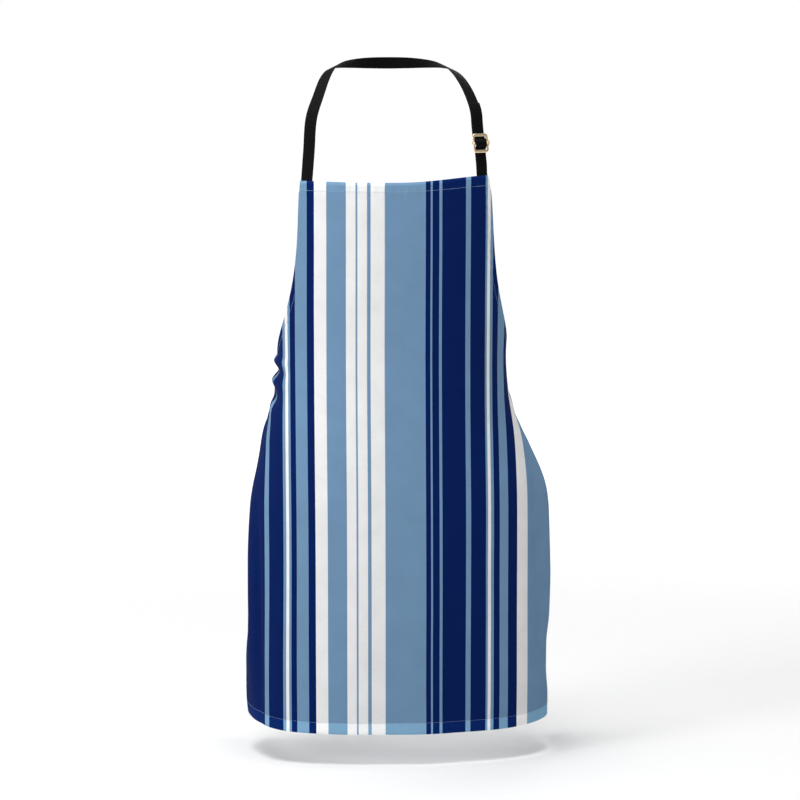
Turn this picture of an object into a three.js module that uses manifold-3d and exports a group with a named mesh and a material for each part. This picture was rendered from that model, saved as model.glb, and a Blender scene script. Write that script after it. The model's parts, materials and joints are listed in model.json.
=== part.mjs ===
// Butcher apron with a bib, in the shape it takes on its wearer. Millimetres, +Z up, the front faces -Y.
// The origin is the seat of the neck strap on the nape, on the strap's inner face.
// Left and right are the wearer's, so the left side is +X.
import * as THREE from "three";
import { mergeVertices } from "three/addons/utils/BufferGeometryUtils.js";
import Module from "manifold-3d";

const wasm = await Module();
wasm.setup();

// ---- driving dimensions ----

const gap = 0.3; // clear of a neighbouring layer
const cloth = 1.0; // a layer of the printed cloth, with its slack
const tape = 0.9; // thickness of the webbing
const tapeWidth = 17;
const thread = 0.5;

const panelLength = 775; // bib top to hem, at the centre
const panelHalfWidth = 330;
const bibHalfWidth = 140;
const armholeDepth = 262;
const armholePower = 3; // squareness of the armhole's superellipse
const topHem = 15;
const edgeHem = 10; // armholes and sides
const bottomHem = 18;
const hemSeamInset = 2.5; // from a hem's inner fold to its row of stitches

const bibTopZ = -160;
const sectionPower = 2.5; // squareness of the wearer's cross-section
// Stations down the front: depth below the bib's top, half width, half depth, and the front line's y.
const stations = [
  [0, 190, 113, -180],
  [80, 184, 118, -180],
  [160, 172, 110, -178],
  [250, 162, 102, -176],
  [300, 166, 104, -178],
  [380, 190, 112, -184],
  [470, 208, 120, -190],
  [620, 213, 124, -192],
  [775, 211, 124, -192],
];

const sewnLength = 25; // of webbing behind the cloth at each sewn end
const sewnSlack = 0.6; // webbing lies flat behind the curved cloth
const rightStrapInset = 12; // strap centre to the bib's corner
const leftStrapInset = 16;
const strapRise = new THREE.Vector3(-0.085, 0.16, 0.98).normalize(); // the left strap's straight run
const sliderHeight = 52; // slider centre above the bib's top, along the strap
const tailLength = 58; // lower strap's free end, past the slider
// The neck strap's centreline on the left half, from above the slider over the shoulder to the nape.
const shoulderLine = [
  [105, -125, -41],
  [97, -101, -23],
  [89.5, -76, -12],
  [82, -51, -6],
  [69, -28, -2],
  [49, -11, -0.5],
  [25, -2, 0],
];
// The outward normal of the wearer under each of those points, and at the nape.
const shoulderNormals = [
  [0.34, -0.64, 0.69],
  [0.34, -0.44, 0.83],
  [0.38, -0.25, 0.89],
  [0.44, -0.04, 0.9],
  [0.5, 0.26, 0.82],
  [0.42, 0.64, 0.64],
  [0.22, 0.9, 0.37],
];
const napeNormal = [0, 0.97, 0.24];
const shoulderSplit = 2; // the point of shoulderLine where the adjusting run ends

const sideBar = 2.8; // of the slider's frame, on each side of its window
const sliderLength = 27;
const sliderThickness = 2.4;
const sliderCorner = 4.5;
const windowLength = 18.4;
const windowCorner = 2;
const windowClearance = 0.4; // of the webbing's edge in the window
const windowWidth = tapeWidth + 2 * windowClearance;
const sliderWidth = windowWidth + 2 * sideBar;
const sliderEdge = 0.5; // rounding of the frame's edges
const pinRadius = 1;
const barrelRadius = 2.3; // of the eyes that carry the crossbar
const rivetRadius = 2;
const rivetHeight = 0.8;
const rockClearance = 1.7; // from the frame's back to the webbing, so that the slider can rock
const foldStitchHeight = 18; // above the crossbar
const foldEnd = 24;

const boxStitch = { width: tapeWidth - 6, height: 15, line: 0.7 };

const knot = { halfWidth: 12, halfDepth: 8, halfHeight: tapeWidth / 2 + 2, corner: 3, rounding: 2.5 };
const swingGap = 0.6; // between the knot and a tail, which turns there
const knotBackset = 7; // knot centre behind the ties' own line
const tieDepth = -4; // where a tie meets the knot, before its centre
const loopDepth = 3; // where a loop's two runs meet it, behind its centre
const loopRise = 3.5; // and above it
const loopLength = 92;
const loopFatness = 14;
const loopDroop = 0.3; // radians below level
const tails = { left: 375, right: 360 };
const tailSpread = 34;
const tipFold = 8;

// The label stands clear of the seam by its inset, and its long way clear of the cloth's bow.
const label = { width: 22, height: 38, thickness: 0.5, below: 430, inset: 3, bow: 0.7 };

// Rows and columns of the cloth's faceted surface.
const bibRows = 11;
const skirtRows = 13;
const innerColumns = 27;
const cornerMiddle = 385; // where the tie corners' row crosses the centre line
const rowBow = 3;

const finishes = {
  print: { color: 0x6f93b8, roughness: 0.85, metalness: 0 },
  webbing: { color: 0x0a0a0b, roughness: 0.8, metalness: 0 },
  thread: { color: 0xc9d3de, roughness: 0.7, metalness: 0 },
  blackThread: { color: 0x101012, roughness: 0.7, metalness: 0 },
  metal: { color: 0xd9b777, roughness: 0.28, metalness: 1 },
  label: { color: 0xf4f4f2, roughness: 0.6, metalness: 0 },
};

// ---- small helpers ----

const vec = (x, y, z) => new THREE.Vector3(x, y, z);
const mirrored = (v) => vec(-v.x, v.y, v.z);

// A closed mesh from a grid of rings: rings[i] holds the corners of one section, in order.
function lofted(rings, closed = false) {
  const around = rings[0].length;
  const positions = rings.flat().flatMap((p) => [p.x, p.y, p.z]);
  const index = [];
  const spans = closed ? rings.length : rings.length - 1;
  for (let i = 0; i < spans; i++)
    for (let k = 0; k < around; k++) {
      const next = (i + 1) % rings.length;
      const [a, b] = [i * around + k, i * around + ((k + 1) % around)];
      const [c, d] = [next * around + ((k + 1) % around), next * around + k];
      index.push(a, b, c, a, c, d);
    }
  if (!closed) {
    const last = (rings.length - 1) * around;
    for (let k = 1; k < around - 1; k++) {
      index.push(0, k + 1, k);
      index.push(last, last + k, last + k + 1);
    }
  }
  const geometry = new THREE.BufferGeometry();
  geometry.setAttribute("position", new THREE.Float32BufferAttribute(positions, 3));
  geometry.setIndex(index);
  return facingOut(geometry);
}

// Turns every face round if the closed mesh encloses a negative volume.
function facingOut(geometry) {
  const at = geometry.getAttribute("position");
  const index = geometry.getIndex().array;
  const corner = (i) => vec().fromBufferAttribute(at, i);
  let volume = 0;
  for (let i = 0; i < index.length; i += 3) {
    const [a, b, c] = [corner(index[i]), corner(index[i + 1]), corner(index[i + 2])];
    volume += a.dot(b.cross(c));
  }
  if (volume < 0)
    for (let i = 0; i < index.length; i += 3) {
      [index[i + 1], index[i + 2]] = [index[i + 2], index[i + 1]];
    }
  geometry.computeVertexNormals();
  return geometry;
}

// A flat band of webbing along points, with its outer face towards the normals.
function band(points, normals, tangents = []) {
  const rings = points.map((point, i) => {
    const before = points[Math.max(i - 1, 0)];
    const after = points[Math.min(i + 1, points.length - 1)];
    const along = tangents[i] ?? after.clone().sub(before).normalize();
    const out = normals[i].clone().addScaledVector(along, -normals[i].dot(along)).normalize();
    const across = along.clone().cross(out);
    return [
      [1, 1],
      [-1, 1],
      [-1, -1],
      [1, -1],
    ].map(([side, face]) =>
      point
        .clone()
        .addScaledVector(across, (side * tapeWidth) / 2)
        .addScaledVector(out, (face * tape) / 2),
    );
  });
  return lofted(rings);
}

// The same band for a path that lies in the plane of a local frame's depth (y) and height (z).
function bandInSection(path) {
  const points = path.map(([height, depth]) => vec(0, -depth, height));
  const normals = points.map((_, i) => {
    const before = points[Math.max(i - 1, 0)];
    const after = points[Math.min(i + 1, points.length - 1)];
    const along = after.clone().sub(before).normalize();
    return vec(0, -along.z, along.y);
  });
  return band(points, normals);
}

function mesh(name, geometry, finish) {
  const made = new THREE.Mesh(geometry, new THREE.MeshStandardMaterial(finishes[finish]));
  made.name = name;
  return made;
}

function solidFrom(geometry) {
  const bare = geometry.index ? geometry.toNonIndexed() : geometry.clone();
  bare.deleteAttribute("normal");
  bare.deleteAttribute("uv");
  const merged = mergeVertices(bare, 1e-4);
  return new wasm.Manifold(
    new wasm.Mesh({
      numProp: 3,
      vertProperties: merged.attributes.position.array,
      triVerts: new Uint32Array(merged.index.array),
    }),
  );
}

function geometryFrom(solid) {
  const { vertProperties, triVerts, numProp, numVert } = solid.getMesh();
  const positions = [];
  for (let i = 0; i < numVert; i++)
    positions.push(...vertProperties.subarray(i * numProp, i * numProp + 3));
  const geometry = new THREE.BufferGeometry();
  geometry.setAttribute("position", new THREE.Float32BufferAttribute(positions, 3));
  geometry.setIndex([...triVerts]);
  geometry.computeVertexNormals();
  return geometry;
}

function roundedRectangle(width, height, radius, Kind = THREE.Shape) {
  const [x, y] = [width / 2, height / 2];
  const outline = new Kind();
  outline.moveTo(x, -y + radius);
  outline.absarc(x - radius, y - radius, radius, 0, Math.PI / 2, false);
  outline.absarc(-x + radius, y - radius, radius, Math.PI / 2, Math.PI, false);
  outline.absarc(-x + radius, -y + radius, radius, Math.PI, Math.PI * 1.5, false);
  outline.absarc(x - radius, -y + radius, radius, Math.PI * 1.5, Math.PI * 2, false);
  return outline;
}

// A group whose local x runs across, -y outwards and z along a strap at a point.
function framedAt(point, along, out) {
  const across = along.clone().cross(out).normalize();
  const group = new THREE.Group();
  const axes = new THREE.Matrix4().makeBasis(across, out.clone().negate(), along);
  group.quaternion.setFromRotationMatrix(axes);
  group.position.copy(point);
  return group;
}

// ---- the wearer's shape, on which the cloth hangs ----

// Smooth values between stations, without overshoot: a monotone cubic on each column.
function stationAt(depth) {
  const s = THREE.MathUtils.clamp(depth, stations[0][0], stations.at(-1)[0]);
  const slopes = (k) =>
    stations.map((row, i) => {
      if (i === 0 || i === stations.length - 1) return 0;
      const [before, after] = [stations[i - 1], stations[i + 1]];
      const rise = (row[k] - before[k]) / (row[0] - before[0]);
      const next = (after[k] - row[k]) / (after[0] - row[0]);
      return rise * next > 0 ? (2 * rise * next) / (rise + next) : 0;
    });
  let i = 0;
  while (i < stations.length - 2 && s > stations[i + 1][0]) i++;
  const [a, b] = [stations[i], stations[i + 1]];
  const [span, t] = [b[0] - a[0], (s - a[0]) / (b[0] - a[0])];
  return [1, 2, 3].map((k) => {
    const m = slopes(k);
    return (
      (2 * t ** 3 - 3 * t ** 2 + 1) * a[k] +
      (t ** 3 - 2 * t ** 2 + t) * span * m[i] +
      (3 * t ** 2 - 2 * t ** 3) * b[k] +
      (t ** 3 - t ** 2) * span * m[i + 1]
    );
  });
}

const sectionSteps = 240;
const sections = new Map();

// The cross-section at a depth, from the front round the left side to the back, with its arc lengths.
function sectionAt(depth) {
  if (!sections.has(depth)) sections.set(depth, sectionOf(depth));
  return sections.get(depth);
}

function sectionOf(depth) {
  const [halfWidth, halfDepth, front] = stationAt(depth);
  const points = [];
  for (let i = 0; i <= sectionSteps; i++) {
    const angle = (Math.PI * i) / sectionSteps;
    const power = 2 / sectionPower;
    const [s, c] = [Math.sin(angle), Math.cos(angle)];
    const x = halfWidth * Math.abs(s) ** power;
    const y = front + halfDepth - halfDepth * Math.sign(c) * Math.abs(c) ** power;
    points.push([x, y]);
  }
  const lengths = [0];
  for (let i = 1; i < points.length; i++) {
    const [a, b] = [points[i - 1], points[i]];
    lengths.push(lengths[i - 1] + Math.hypot(b[0] - a[0], b[1] - a[1]));
  }
  return { points, lengths };
}

// The place at an arc length round a section, as [x, y]; negative lengths run round the right side.
function alongSection(section, arc) {
  const { points, lengths } = section;
  const target = Math.min(Math.abs(arc), lengths.at(-1));
  let i = 1;
  while (i < lengths.length - 1 && lengths[i] < target) i++;
  const t = (target - lengths[i - 1]) / (lengths[i] - lengths[i - 1]);
  const [a, b] = [points[i - 1], points[i]];
  const x = a[0] + t * (b[0] - a[0]);
  return [Math.sign(arc) * x, a[1] + t * (b[1] - a[1])];
}

// Cloth hung plumb from the bib: a point u across and v down the flat panel. Where it leans, it drops less.
const dropStep = 12.5;
const leanShare = 0.6; // the cloth's give takes up the rest of a slant
function clothPoint(u, v) {
  let [z, last] = [bibTopZ, alongSection(sectionAt(0), u)];
  for (let done = 0; done < v - 1e-9; ) {
    const step = Math.min(dropStep, v - done);
    done += step;
    const here = alongSection(sectionAt(done), u);
    const slant = Math.hypot(here[0] - last[0], here[1] - last[1]) * leanShare;
    const lean = Math.min(slant, step * 0.8);
    z -= Math.sqrt(step ** 2 - lean ** 2);
    last = here;
  }
  return vec(last[0], last[1], z);
}

// ---- the printed panel and its hems ----

// The flat panel's edge along the armhole, as [u, v], by the angle that draws it.
function armholeEdge(angle) {
  const power = 2 / armholePower;
  const u = panelHalfWidth - (panelHalfWidth - bibHalfWidth) * Math.cos(angle) ** power;
  return [u, armholeDepth * Math.sin(angle) ** power];
}

// Points evenly spaced along the armhole, from a depth down to the corner, with the cloth's inner side.
function armholePoints(fromDepth, count) {
  const firstAngle = Math.asin((fromDepth / armholeDepth) ** (armholePower / 2));
  const fine = 400;
  const places = [];
  for (let i = 0; i <= fine; i++)
    places.push(armholeEdge(THREE.MathUtils.lerp(firstAngle, Math.PI / 2 - 1e-6, i / fine)));
  const lengths = [0];
  for (let i = 1; i <= fine; i++) {
    const [a, b] = [places[i - 1], places[i]];
    lengths.push(lengths[i - 1] + Math.hypot(b[0] - a[0], b[1] - a[1]));
  }
  const points = [];
  for (let k = 0; k < count; k++) {
    const target = (lengths[fine] * k) / (count - 1);
    const i = THREE.MathUtils.clamp(lengths.findIndex((l) => l >= target), 1, fine - 1);
    const [before, after] = [places[i - 1], places[i + 1]];
    const slope = Math.atan2(after[1] - before[1], after[0] - before[0]);
    points.push({ edge: places[i], inward: [-Math.sin(slope), Math.cos(slope)] });
  }
  return points;
}

// The flat panel's grid: rows[i][j] is [u, v]. Edge columns are as wide as the hem, and rows bow to their ends.
function flatGrid() {
  const ends = [{ middle: 0, edge: [bibHalfWidth, 0], inner: [bibHalfWidth - edgeHem, 0] }];
  armholePoints(topHem, bibRows).forEach(({ edge, inward }, i) => {
    const corner = i === bibRows - 1;
    const inner = corner
      ? [panelHalfWidth - edgeHem, armholeDepth + edgeHem]
      : [edge[0] + inward[0] * edgeHem, edge[1] + inward[1] * edgeHem];
    const middle = THREE.MathUtils.lerp(topHem, cornerMiddle, i / (bibRows - 1));
    ends.push({ middle, edge: corner ? [panelHalfWidth, armholeDepth] : edge, inner });
  });
  for (let i = 1; i <= skirtRows; i++) {
    const down = (from) => THREE.MathUtils.lerp(from, panelLength - bottomHem, i / skirtRows);
    const level = down(armholeDepth + edgeHem);
    const inner = [panelHalfWidth - edgeHem, level];
    ends.push({ middle: down(cornerMiddle), edge: [panelHalfWidth, level], inner });
  }
  const hemInner = [panelHalfWidth - edgeHem, panelLength];
  ends.push({ middle: panelLength, edge: [panelHalfWidth, panelLength], inner: hemInner });
  return ends.map(({ middle, edge, inner }) => {
    const columns = [];
    for (let j = 0; j <= innerColumns; j++) {
      const share = (2 * j) / innerColumns - 1;
      columns.push([share * inner[0], middle + (inner[1] - middle) * Math.abs(share) ** rowBow]);
    }
    return [[-edge[0], edge[1]], ...columns, edge];
  });
}

const flat = flatGrid();
const cornerRow = bibRows; // the row that ends at the tie corners
const lastRow = flat.length - 1;
const lastColumn = flat[0].length - 1;

const normalStep = 3;
function clothNode([u, v]) {
  const across = clothPoint(u + normalStep, v).sub(clothPoint(u - normalStep, v));
  const top = Math.max(v - normalStep, 0);
  const bottom = Math.min(v + normalStep, panelLength);
  const down = clothPoint(u, bottom).sub(clothPoint(u, top));
  return { point: clothPoint(u, v), out: down.cross(across).normalize() };
}
const draped = flat.map((row) => row.map(clothNode));

// On the left half a cell's diagonal leans the other way, so that the two sides match.
const leansBack = (column) => column >= lastColumn / 2;

// A cell's two triangles, each as [row, column] corners: the diagonal is from the first to the third.
function cellTriangles(i, j) {
  const [near, far] = leansBack(j) ? [j + 1, j] : [j, j + 1];
  const [start, end] = [[i, near], [i + 1, far]];
  return [
    [start, [i, far], end],
    [start, [i + 1, near], end],
  ];
}

function blended(corners, weights) {
  const mix = (key) =>
    corners.reduce((sum, [i, j], k) => sum.addScaledVector(draped[i][j][key], weights[k]), vec(0, 0, 0));
  return { point: mix("point"), out: mix("out") };
}

// A place on the faceted cloth, by fractional row and column.
function onCloth(row, column) {
  const i = Math.min(Math.floor(row), lastRow - 1);
  const j = Math.min(Math.floor(column), lastColumn - 1);
  const s = row - i;
  const t = leansBack(j) ? j + 1 - column : column - j;
  const corners = cellTriangles(i, j)[t > s ? 0 : 1];
  return blended(corners, [1 - Math.max(s, t), Math.abs(s - t), Math.min(s, t)]);
}

// The same, by a point u across and v down the flat panel.
function facetAt(u, v) {
  for (let i = 0; i < lastRow; i++)
    for (let j = 0; j < lastColumn; j++)
      for (const corners of cellTriangles(i, j)) {
        const [a, b, c] = corners.map(([row, column]) => flat[row][column]);
        const area = (b[0] - a[0]) * (c[1] - a[1]) - (c[0] - a[0]) * (b[1] - a[1]);
        const second = ((u - a[0]) * (c[1] - a[1]) - (c[0] - a[0]) * (v - a[1])) / area;
        const third = ((b[0] - a[0]) * (v - a[1]) - (u - a[0]) * (b[1] - a[1])) / area;
        const weights = [1 - second - third, second, third];
        if (Math.min(...weights) > -1e-6) return blended(corners, weights);
      }
  throw new Error(`no cloth ${u} across and ${v} down`);
}

// A layer that follows the cloth between two rows and two columns, from one offset to another.
function layer(rows, columns, from, to) {
  // A strip narrower than a cell also bends where it crosses the cells' diagonals.
  const steps = ([a, b], [c, d], columnOf) => {
    const middle = (c + d) / 2;
    const narrow = Math.ceil(d) - Math.floor(c) === 1 && d - c < 0.5;
    const inside = [];
    for (let k = Math.floor(a); k < b; k++) {
      const share = middle - Math.floor(middle);
      const crossing = k + (leansBack(columnOf(k)) ? 1 - share : share);
      for (const at of narrow ? [k, crossing] : [k]) if (at > a && at < b) inside.push(at);
    }
    return [a, ...inside, b];
  };
  const across = steps(columns, rows, (k) => k);
  const rings = steps(rows, columns, () => Math.floor((columns[0] + columns[1]) / 2)).map((row) => {
    const nodes = across.map((column) => onCloth(row, column));
    const front = nodes.map(({ point, out }) => point.clone().addScaledVector(out, to));
    const back = nodes.map(({ point, out }) => point.clone().addScaledVector(out, from));
    return [...front, ...back.reverse()];
  });
  const leans = across.slice(1).map((column, k) => leansBack(Math.floor((column + across[k]) / 2)));
  return gridCapped(rings, across.length, leans);
}

// Like lofted, with each end closed between its front and back points, column by column.
// leans tells which way the diagonals of each column of cells lean, front and back alike.
function gridCapped(rings, columns, leans) {
  const around = rings[0].length;
  const positions = rings.flat().flatMap((p) => [p.x, p.y, p.z]);
  const index = [];
  for (let i = 0; i < rings.length - 1; i++)
    for (let k = 0; k < around; k++) {
      const [a, b] = [i * around + k, i * around + ((k + 1) % around)];
      const [c, d] = [b + around, a + around];
      const front = k < columns;
      const lean = leans[front ? k : 2 * columns - 2 - k] ?? false;
      index.push(...(front !== lean ? [a, b, c, a, c, d] : [a, b, d, b, c, d]));
    }
  for (const [base, flip] of [[0, false], [(rings.length - 1) * around, true]])
    for (let k = 0; k < columns - 1; k++) {
      const [a, b] = [base + k, base + k + 1];
      const [c, d] = [base + around - 2 - k, base + around - 1 - k];
      index.push(...(flip ? [a, b, c, a, c, d] : [a, c, b, a, d, c]));
    }
  const geometry = new THREE.BufferGeometry();
  geometry.setAttribute("position", new THREE.Float32BufferAttribute(positions, 3));
  geometry.setIndex(index);
  return facingOut(geometry);
}

const hemBack = -cloth / 2 - gap; // the hem's face against the panel
const hemInside = hemBack - cloth;
const threadFrom = hemInside - gap;
const edgeSlack = gap / edgeHem; // a gap, in edge columns
const endSlack = gap / bottomHem; // a gap, in hem rows

function panelAndHems(group) {
  const half = cloth / 2;
  group.add(mesh("body_panel", layer([0, lastRow], [0, lastColumn], -half, half), "print"));
  const inner = [1 + edgeSlack, lastColumn - 1 - edgeSlack];
  const edgesOf = { right: [0, 1], left: [lastColumn - 1, lastColumn] };
  group.add(mesh("bib_hem", layer([0, 1], inner, hemInside, hemBack), "print"));
  group.add(mesh("bottom_hem", layer([lastRow - 1, lastRow], [0, lastColumn], hemInside, hemBack), "print"));
  for (const [side, columns] of Object.entries(edgesOf)) {
    const bib = [0, cornerRow - endSlack];
    const skirt = [cornerRow, lastRow - 1 - endSlack];
    group.add(mesh(`armhole_hem_${side}`, layer(bib, columns, hemInside, hemBack), "print"));
    group.add(mesh(`side_hem_${side}`, layer(skirt, columns, hemInside, hemBack), "print"));
  }
  hemStitching(group);
}

// One row of stitches near the inner fold of each hem, on the inside.
function hemStitching(group) {
  const [from, to] = [threadFrom - thread, threadFrom];
  const topSeam = 1 - hemSeamInset / topHem;
  const bottomSeam = lastRow - 1 + hemSeamInset / bottomHem;
  const halfTop = thread / topHem / 2;
  const halfBottom = thread / bottomHem / 2;
  const edgeSeam = 1 - hemSeamInset / edgeHem;
  const halfEdge = thread / edgeHem / 2;
  const clear = 1 + edgeSlack * 2; // ends clear of the strap's webbing and the edge seams
  group.add(
    mesh(
      "bottom_hem_stitching",
      layer([bottomSeam - halfBottom, bottomSeam + halfBottom], [0.1, lastColumn - 0.1], from, to),
      "thread",
    ),
    mesh(
      "bib_hem_stitching",
      layer([topSeam - halfTop, topSeam + halfTop], [clear + 2, lastColumn - clear - 2], from, to),
      "thread",
    ),
  );
  const ends = {
    armhole: [1 + sewnLength / 24, cornerRow - 0.75],
    side: [cornerRow + 0.9, lastRow - 1 - endSlack],
  };
  for (const [edge, rows] of Object.entries(ends)) {
    const right = [edgeSeam - halfEdge, edgeSeam + halfEdge];
    const left = [lastColumn - edgeSeam - halfEdge, lastColumn - edgeSeam + halfEdge];
    group.add(
      mesh(`${edge}_stitching_right`, layer(rows, right, from, to), "thread"),
      mesh(`${edge}_stitching_left`, layer(rows, left, from, to), "thread"),
    );
  }
}

// ---- webbing: neck strap, lower strap and slider ----

const strapOffset = hemInside - sewnSlack - gap - tape / 2; // centre of webbing sewn behind a hem

// A place on webbing sewn behind the panel, u across and v down.
function behindPanel(u, v) {
  const { point, out } = facetAt(u, v);
  out.normalize();
  return { point: point.addScaledVector(out, strapOffset), out };
}

const leftRoot = behindPanel(bibHalfWidth - leftStrapInset, 0);
const leftOut = leftRoot.out
  .clone()
  .addScaledVector(strapRise, -leftRoot.out.dot(strapRise))
  .normalize();

// Depths in the slider's section, outwards from the crossbar's axis.
const pinClearance = 0.3;
const foldRadius = pinRadius + pinClearance + tape / 2;
const weaveRadius = foldRadius + tape + gap;
const barBack = -sliderThickness / 2;
const lowerDepth = barBack - rockClearance - tape / 2; // lower strap and its tail
const returnDepth = lowerDepth - tape - gap - 0.05; // the fold's short leg
const neckDepth = returnDepth - tape - gap - 0.05; // the neck strap itself

const sliderOrigin = leftRoot.point
  .clone()
  .addScaledVector(strapRise, sliderHeight)
  .addScaledVector(leftOut, -lowerDepth);
const onSlider = (height, depth) =>
  sliderOrigin.clone().addScaledVector(strapRise, height).addScaledVector(leftOut, depth);

const weaveEnd = 11;
const weavePath = [
  [-weaveEnd, lowerDepth],
  [-8.6, lowerDepth + 0.3],
  [-6, -0.2],
  [-4.1, 1.5],
  [-2.2, weaveRadius - 0.45],
  [0, weaveRadius],
  [2.2, weaveRadius - 0.45],
  [4.1, 1.5],
  [6, -0.2],
  [8.6, lowerDepth + 0.3],
  [weaveEnd, lowerDepth],
];

function foldPath() {
  const turn = [-80, -115, -150, -180, -215, -250, -280].map((degrees) => {
    const angle = THREE.MathUtils.degToRad(degrees);
    return [foldRadius * Math.cos(angle), foldRadius * Math.sin(angle)];
  });
  const backLeg = [
    [foldEnd, neckDepth],
    [14, neckDepth],
    [11, neckDepth + 0.05],
    [8, neckDepth + 0.6],
    [5, neckDepth + 1.7],
    [2.4, -foldRadius - 0.35],
  ];
  const shortLeg = [
    [1.5, foldRadius - 0.7],
    [2.7, 0.2],
    [4, -0.8],
    [5.5, -1.9],
    [8, returnDepth + 0.5],
    [11, returnDepth],
    [14, returnDepth],
    [foldEnd - 1, returnDepth],
  ];
  return [...backLeg, ...turn, ...shortLeg];
}

function sliderAssembly(group) {
  const place = framedAt(sliderOrigin, strapRise, leftOut);
  const frame = roundedRectangle(sliderWidth, sliderLength, sliderCorner);
  frame.holes.push(roundedRectangle(windowWidth, windowLength, windowCorner, THREE.Path));
  const plate = new THREE.ExtrudeGeometry(frame, {
    depth: sliderThickness - 2 * sliderEdge,
    bevelThickness: sliderEdge,
    bevelSize: sliderEdge,
    bevelOffset: -sliderEdge,
    bevelSegments: 2,
    curveSegments: 5,
  });
  plate.translate(0, 0, sliderEdge - sliderThickness / 2).rotateX(Math.PI / 2);
  const rod = (radius, length, sides) =>
    new THREE.CylinderGeometry(radius, radius, length, sides).rotateZ(Math.PI / 2);
  let solid = solidFrom(plate);
  for (const side of [1, -1]) {
    const eye = rod(barrelRadius, sideBar, 16).translate((side * (sliderWidth - sideBar)) / 2, 0, 0);
    solid = solid.add(solidFrom(eye));
  }
  solid = solid.subtract(solidFrom(rod(pinRadius + gap, sliderWidth * 2, 12)));
  place.add(mesh("slider_frame", geometryFrom(solid), "metal"));

  const shank = sliderWidth / 2 + gap;
  const profile = [
    [0, -shank - rivetHeight],
    [rivetRadius * 0.7, -shank - rivetHeight * 0.8],
    [rivetRadius, -shank],
    [pinRadius, -shank],
    [pinRadius, shank],
    [rivetRadius, shank],
    [rivetRadius * 0.7, shank + rivetHeight * 0.8],
    [0, shank + rivetHeight],
  ].map(([radius, along]) => new THREE.Vector2(radius, along));
  const pin = new THREE.LatheGeometry(profile, 12).rotateZ(Math.PI / 2);
  place.add(mesh("slider_crossbar", geometryFrom(solidFrom(pin)), "metal"));

  place.add(mesh("strap_weave", bandInSection(weavePath), "webbing"));
  place.add(mesh("neck_strap_fold", bandInSection(foldPath()), "webbing"));
  const tack = boxStitchGeometry(boxStitch.width, 6);
  tack.translate(0, -(neckDepth - tape / 2 - gap - thread / 2), foldStitchHeight);
  place.add(mesh("fold_stitch", tack, "blackThread"));
  group.add(place);
}

// A sewn box with crossed diagonals, as one flat net of thread in the local x and z directions.
function boxStitchGeometry(width = boxStitch.width, height = boxStitch.height) {
  const line = boxStitch.line;
  const seam = (across, up, turn, x, z) =>
    solidFrom(new THREE.BoxGeometry(across, thread, up).rotateY(turn).translate(x, 0, z));
  const slant = Math.atan2(width, height);
  let net = seam(line, Math.hypot(width, height), slant, 0, 0);
  net = net.add(seam(line, Math.hypot(width, height), -slant, 0, 0));
  for (const side of [0.5, -0.5]) {
    net = net.add(seam(line, height + line, 0, side * width, 0));
    net = net.add(seam(width + line, line, 0, 0, side * height));
  }
  return geometryFrom(net);
}

// The whole centreline of the neck strap, from above the fold to the sewn end on the right.
function neckStrapLine() {
  const shoulder = shoulderLine.map((p) => vec(...p));
  const normals = shoulderNormals.map((n) => vec(...n).normalize());
  const start = [onSlider(foldEnd + gap, neckDepth), onSlider(foldEnd + 22, neckDepth)];
  const rightU = -(bibHalfWidth - rightStrapInset);
  const sewn = [behindPanel(rightU, 0), behindPanel(rightU, sewnLength / 2), behindPanel(rightU, sewnLength)];
  const rise = sewn[0].point.clone().addScaledVector(mirrored(strapRise), 42);
  const high = sewn[0].point.clone().addScaledVector(mirrored(strapRise), 88);
  const points = [
    ...start,
    ...shoulder,
    vec(0, tape / 2, 0),
    ...shoulder.map(mirrored).reverse(),
    high,
    rise,
    ...sewn.map((s) => s.point),
  ];
  const straight = mirrored(leftOut);
  const outs = [
    leftOut,
    leftOut,
    ...normals,
    vec(...napeNormal).normalize(),
    ...normals.map(mirrored).reverse(),
    straight,
    straight,
    ...sewn.map((s) => s.out),
  ];
  return { points, outs, split: start.length + shoulderSplit };
}

// Points and normals along a smooth curve through the given ones, between two of them.
function smoothLine({ points, outs }, first, last, perSpan = 3) {
  const curve = new THREE.CatmullRomCurve3(points, false, "centripetal");
  const normals = new THREE.CatmullRomCurve3(outs, false, "centripetal");
  const steps = Math.round((last - first) * perSpan);
  const places = [];
  for (let i = 0; i <= steps; i++) {
    const t = (first + ((last - first) * i) / steps) / (points.length - 1);
    const out = normals.getPoint(t).normalize();
    places.push({ point: curve.getPoint(t), out, along: curve.getTangent(t) });
  }
  return places;
}

const bandAlong = (places) =>
  band(
    places.map((p) => p.point),
    places.map((p) => p.out),
    places.map((p) => p.along),
  );

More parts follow.
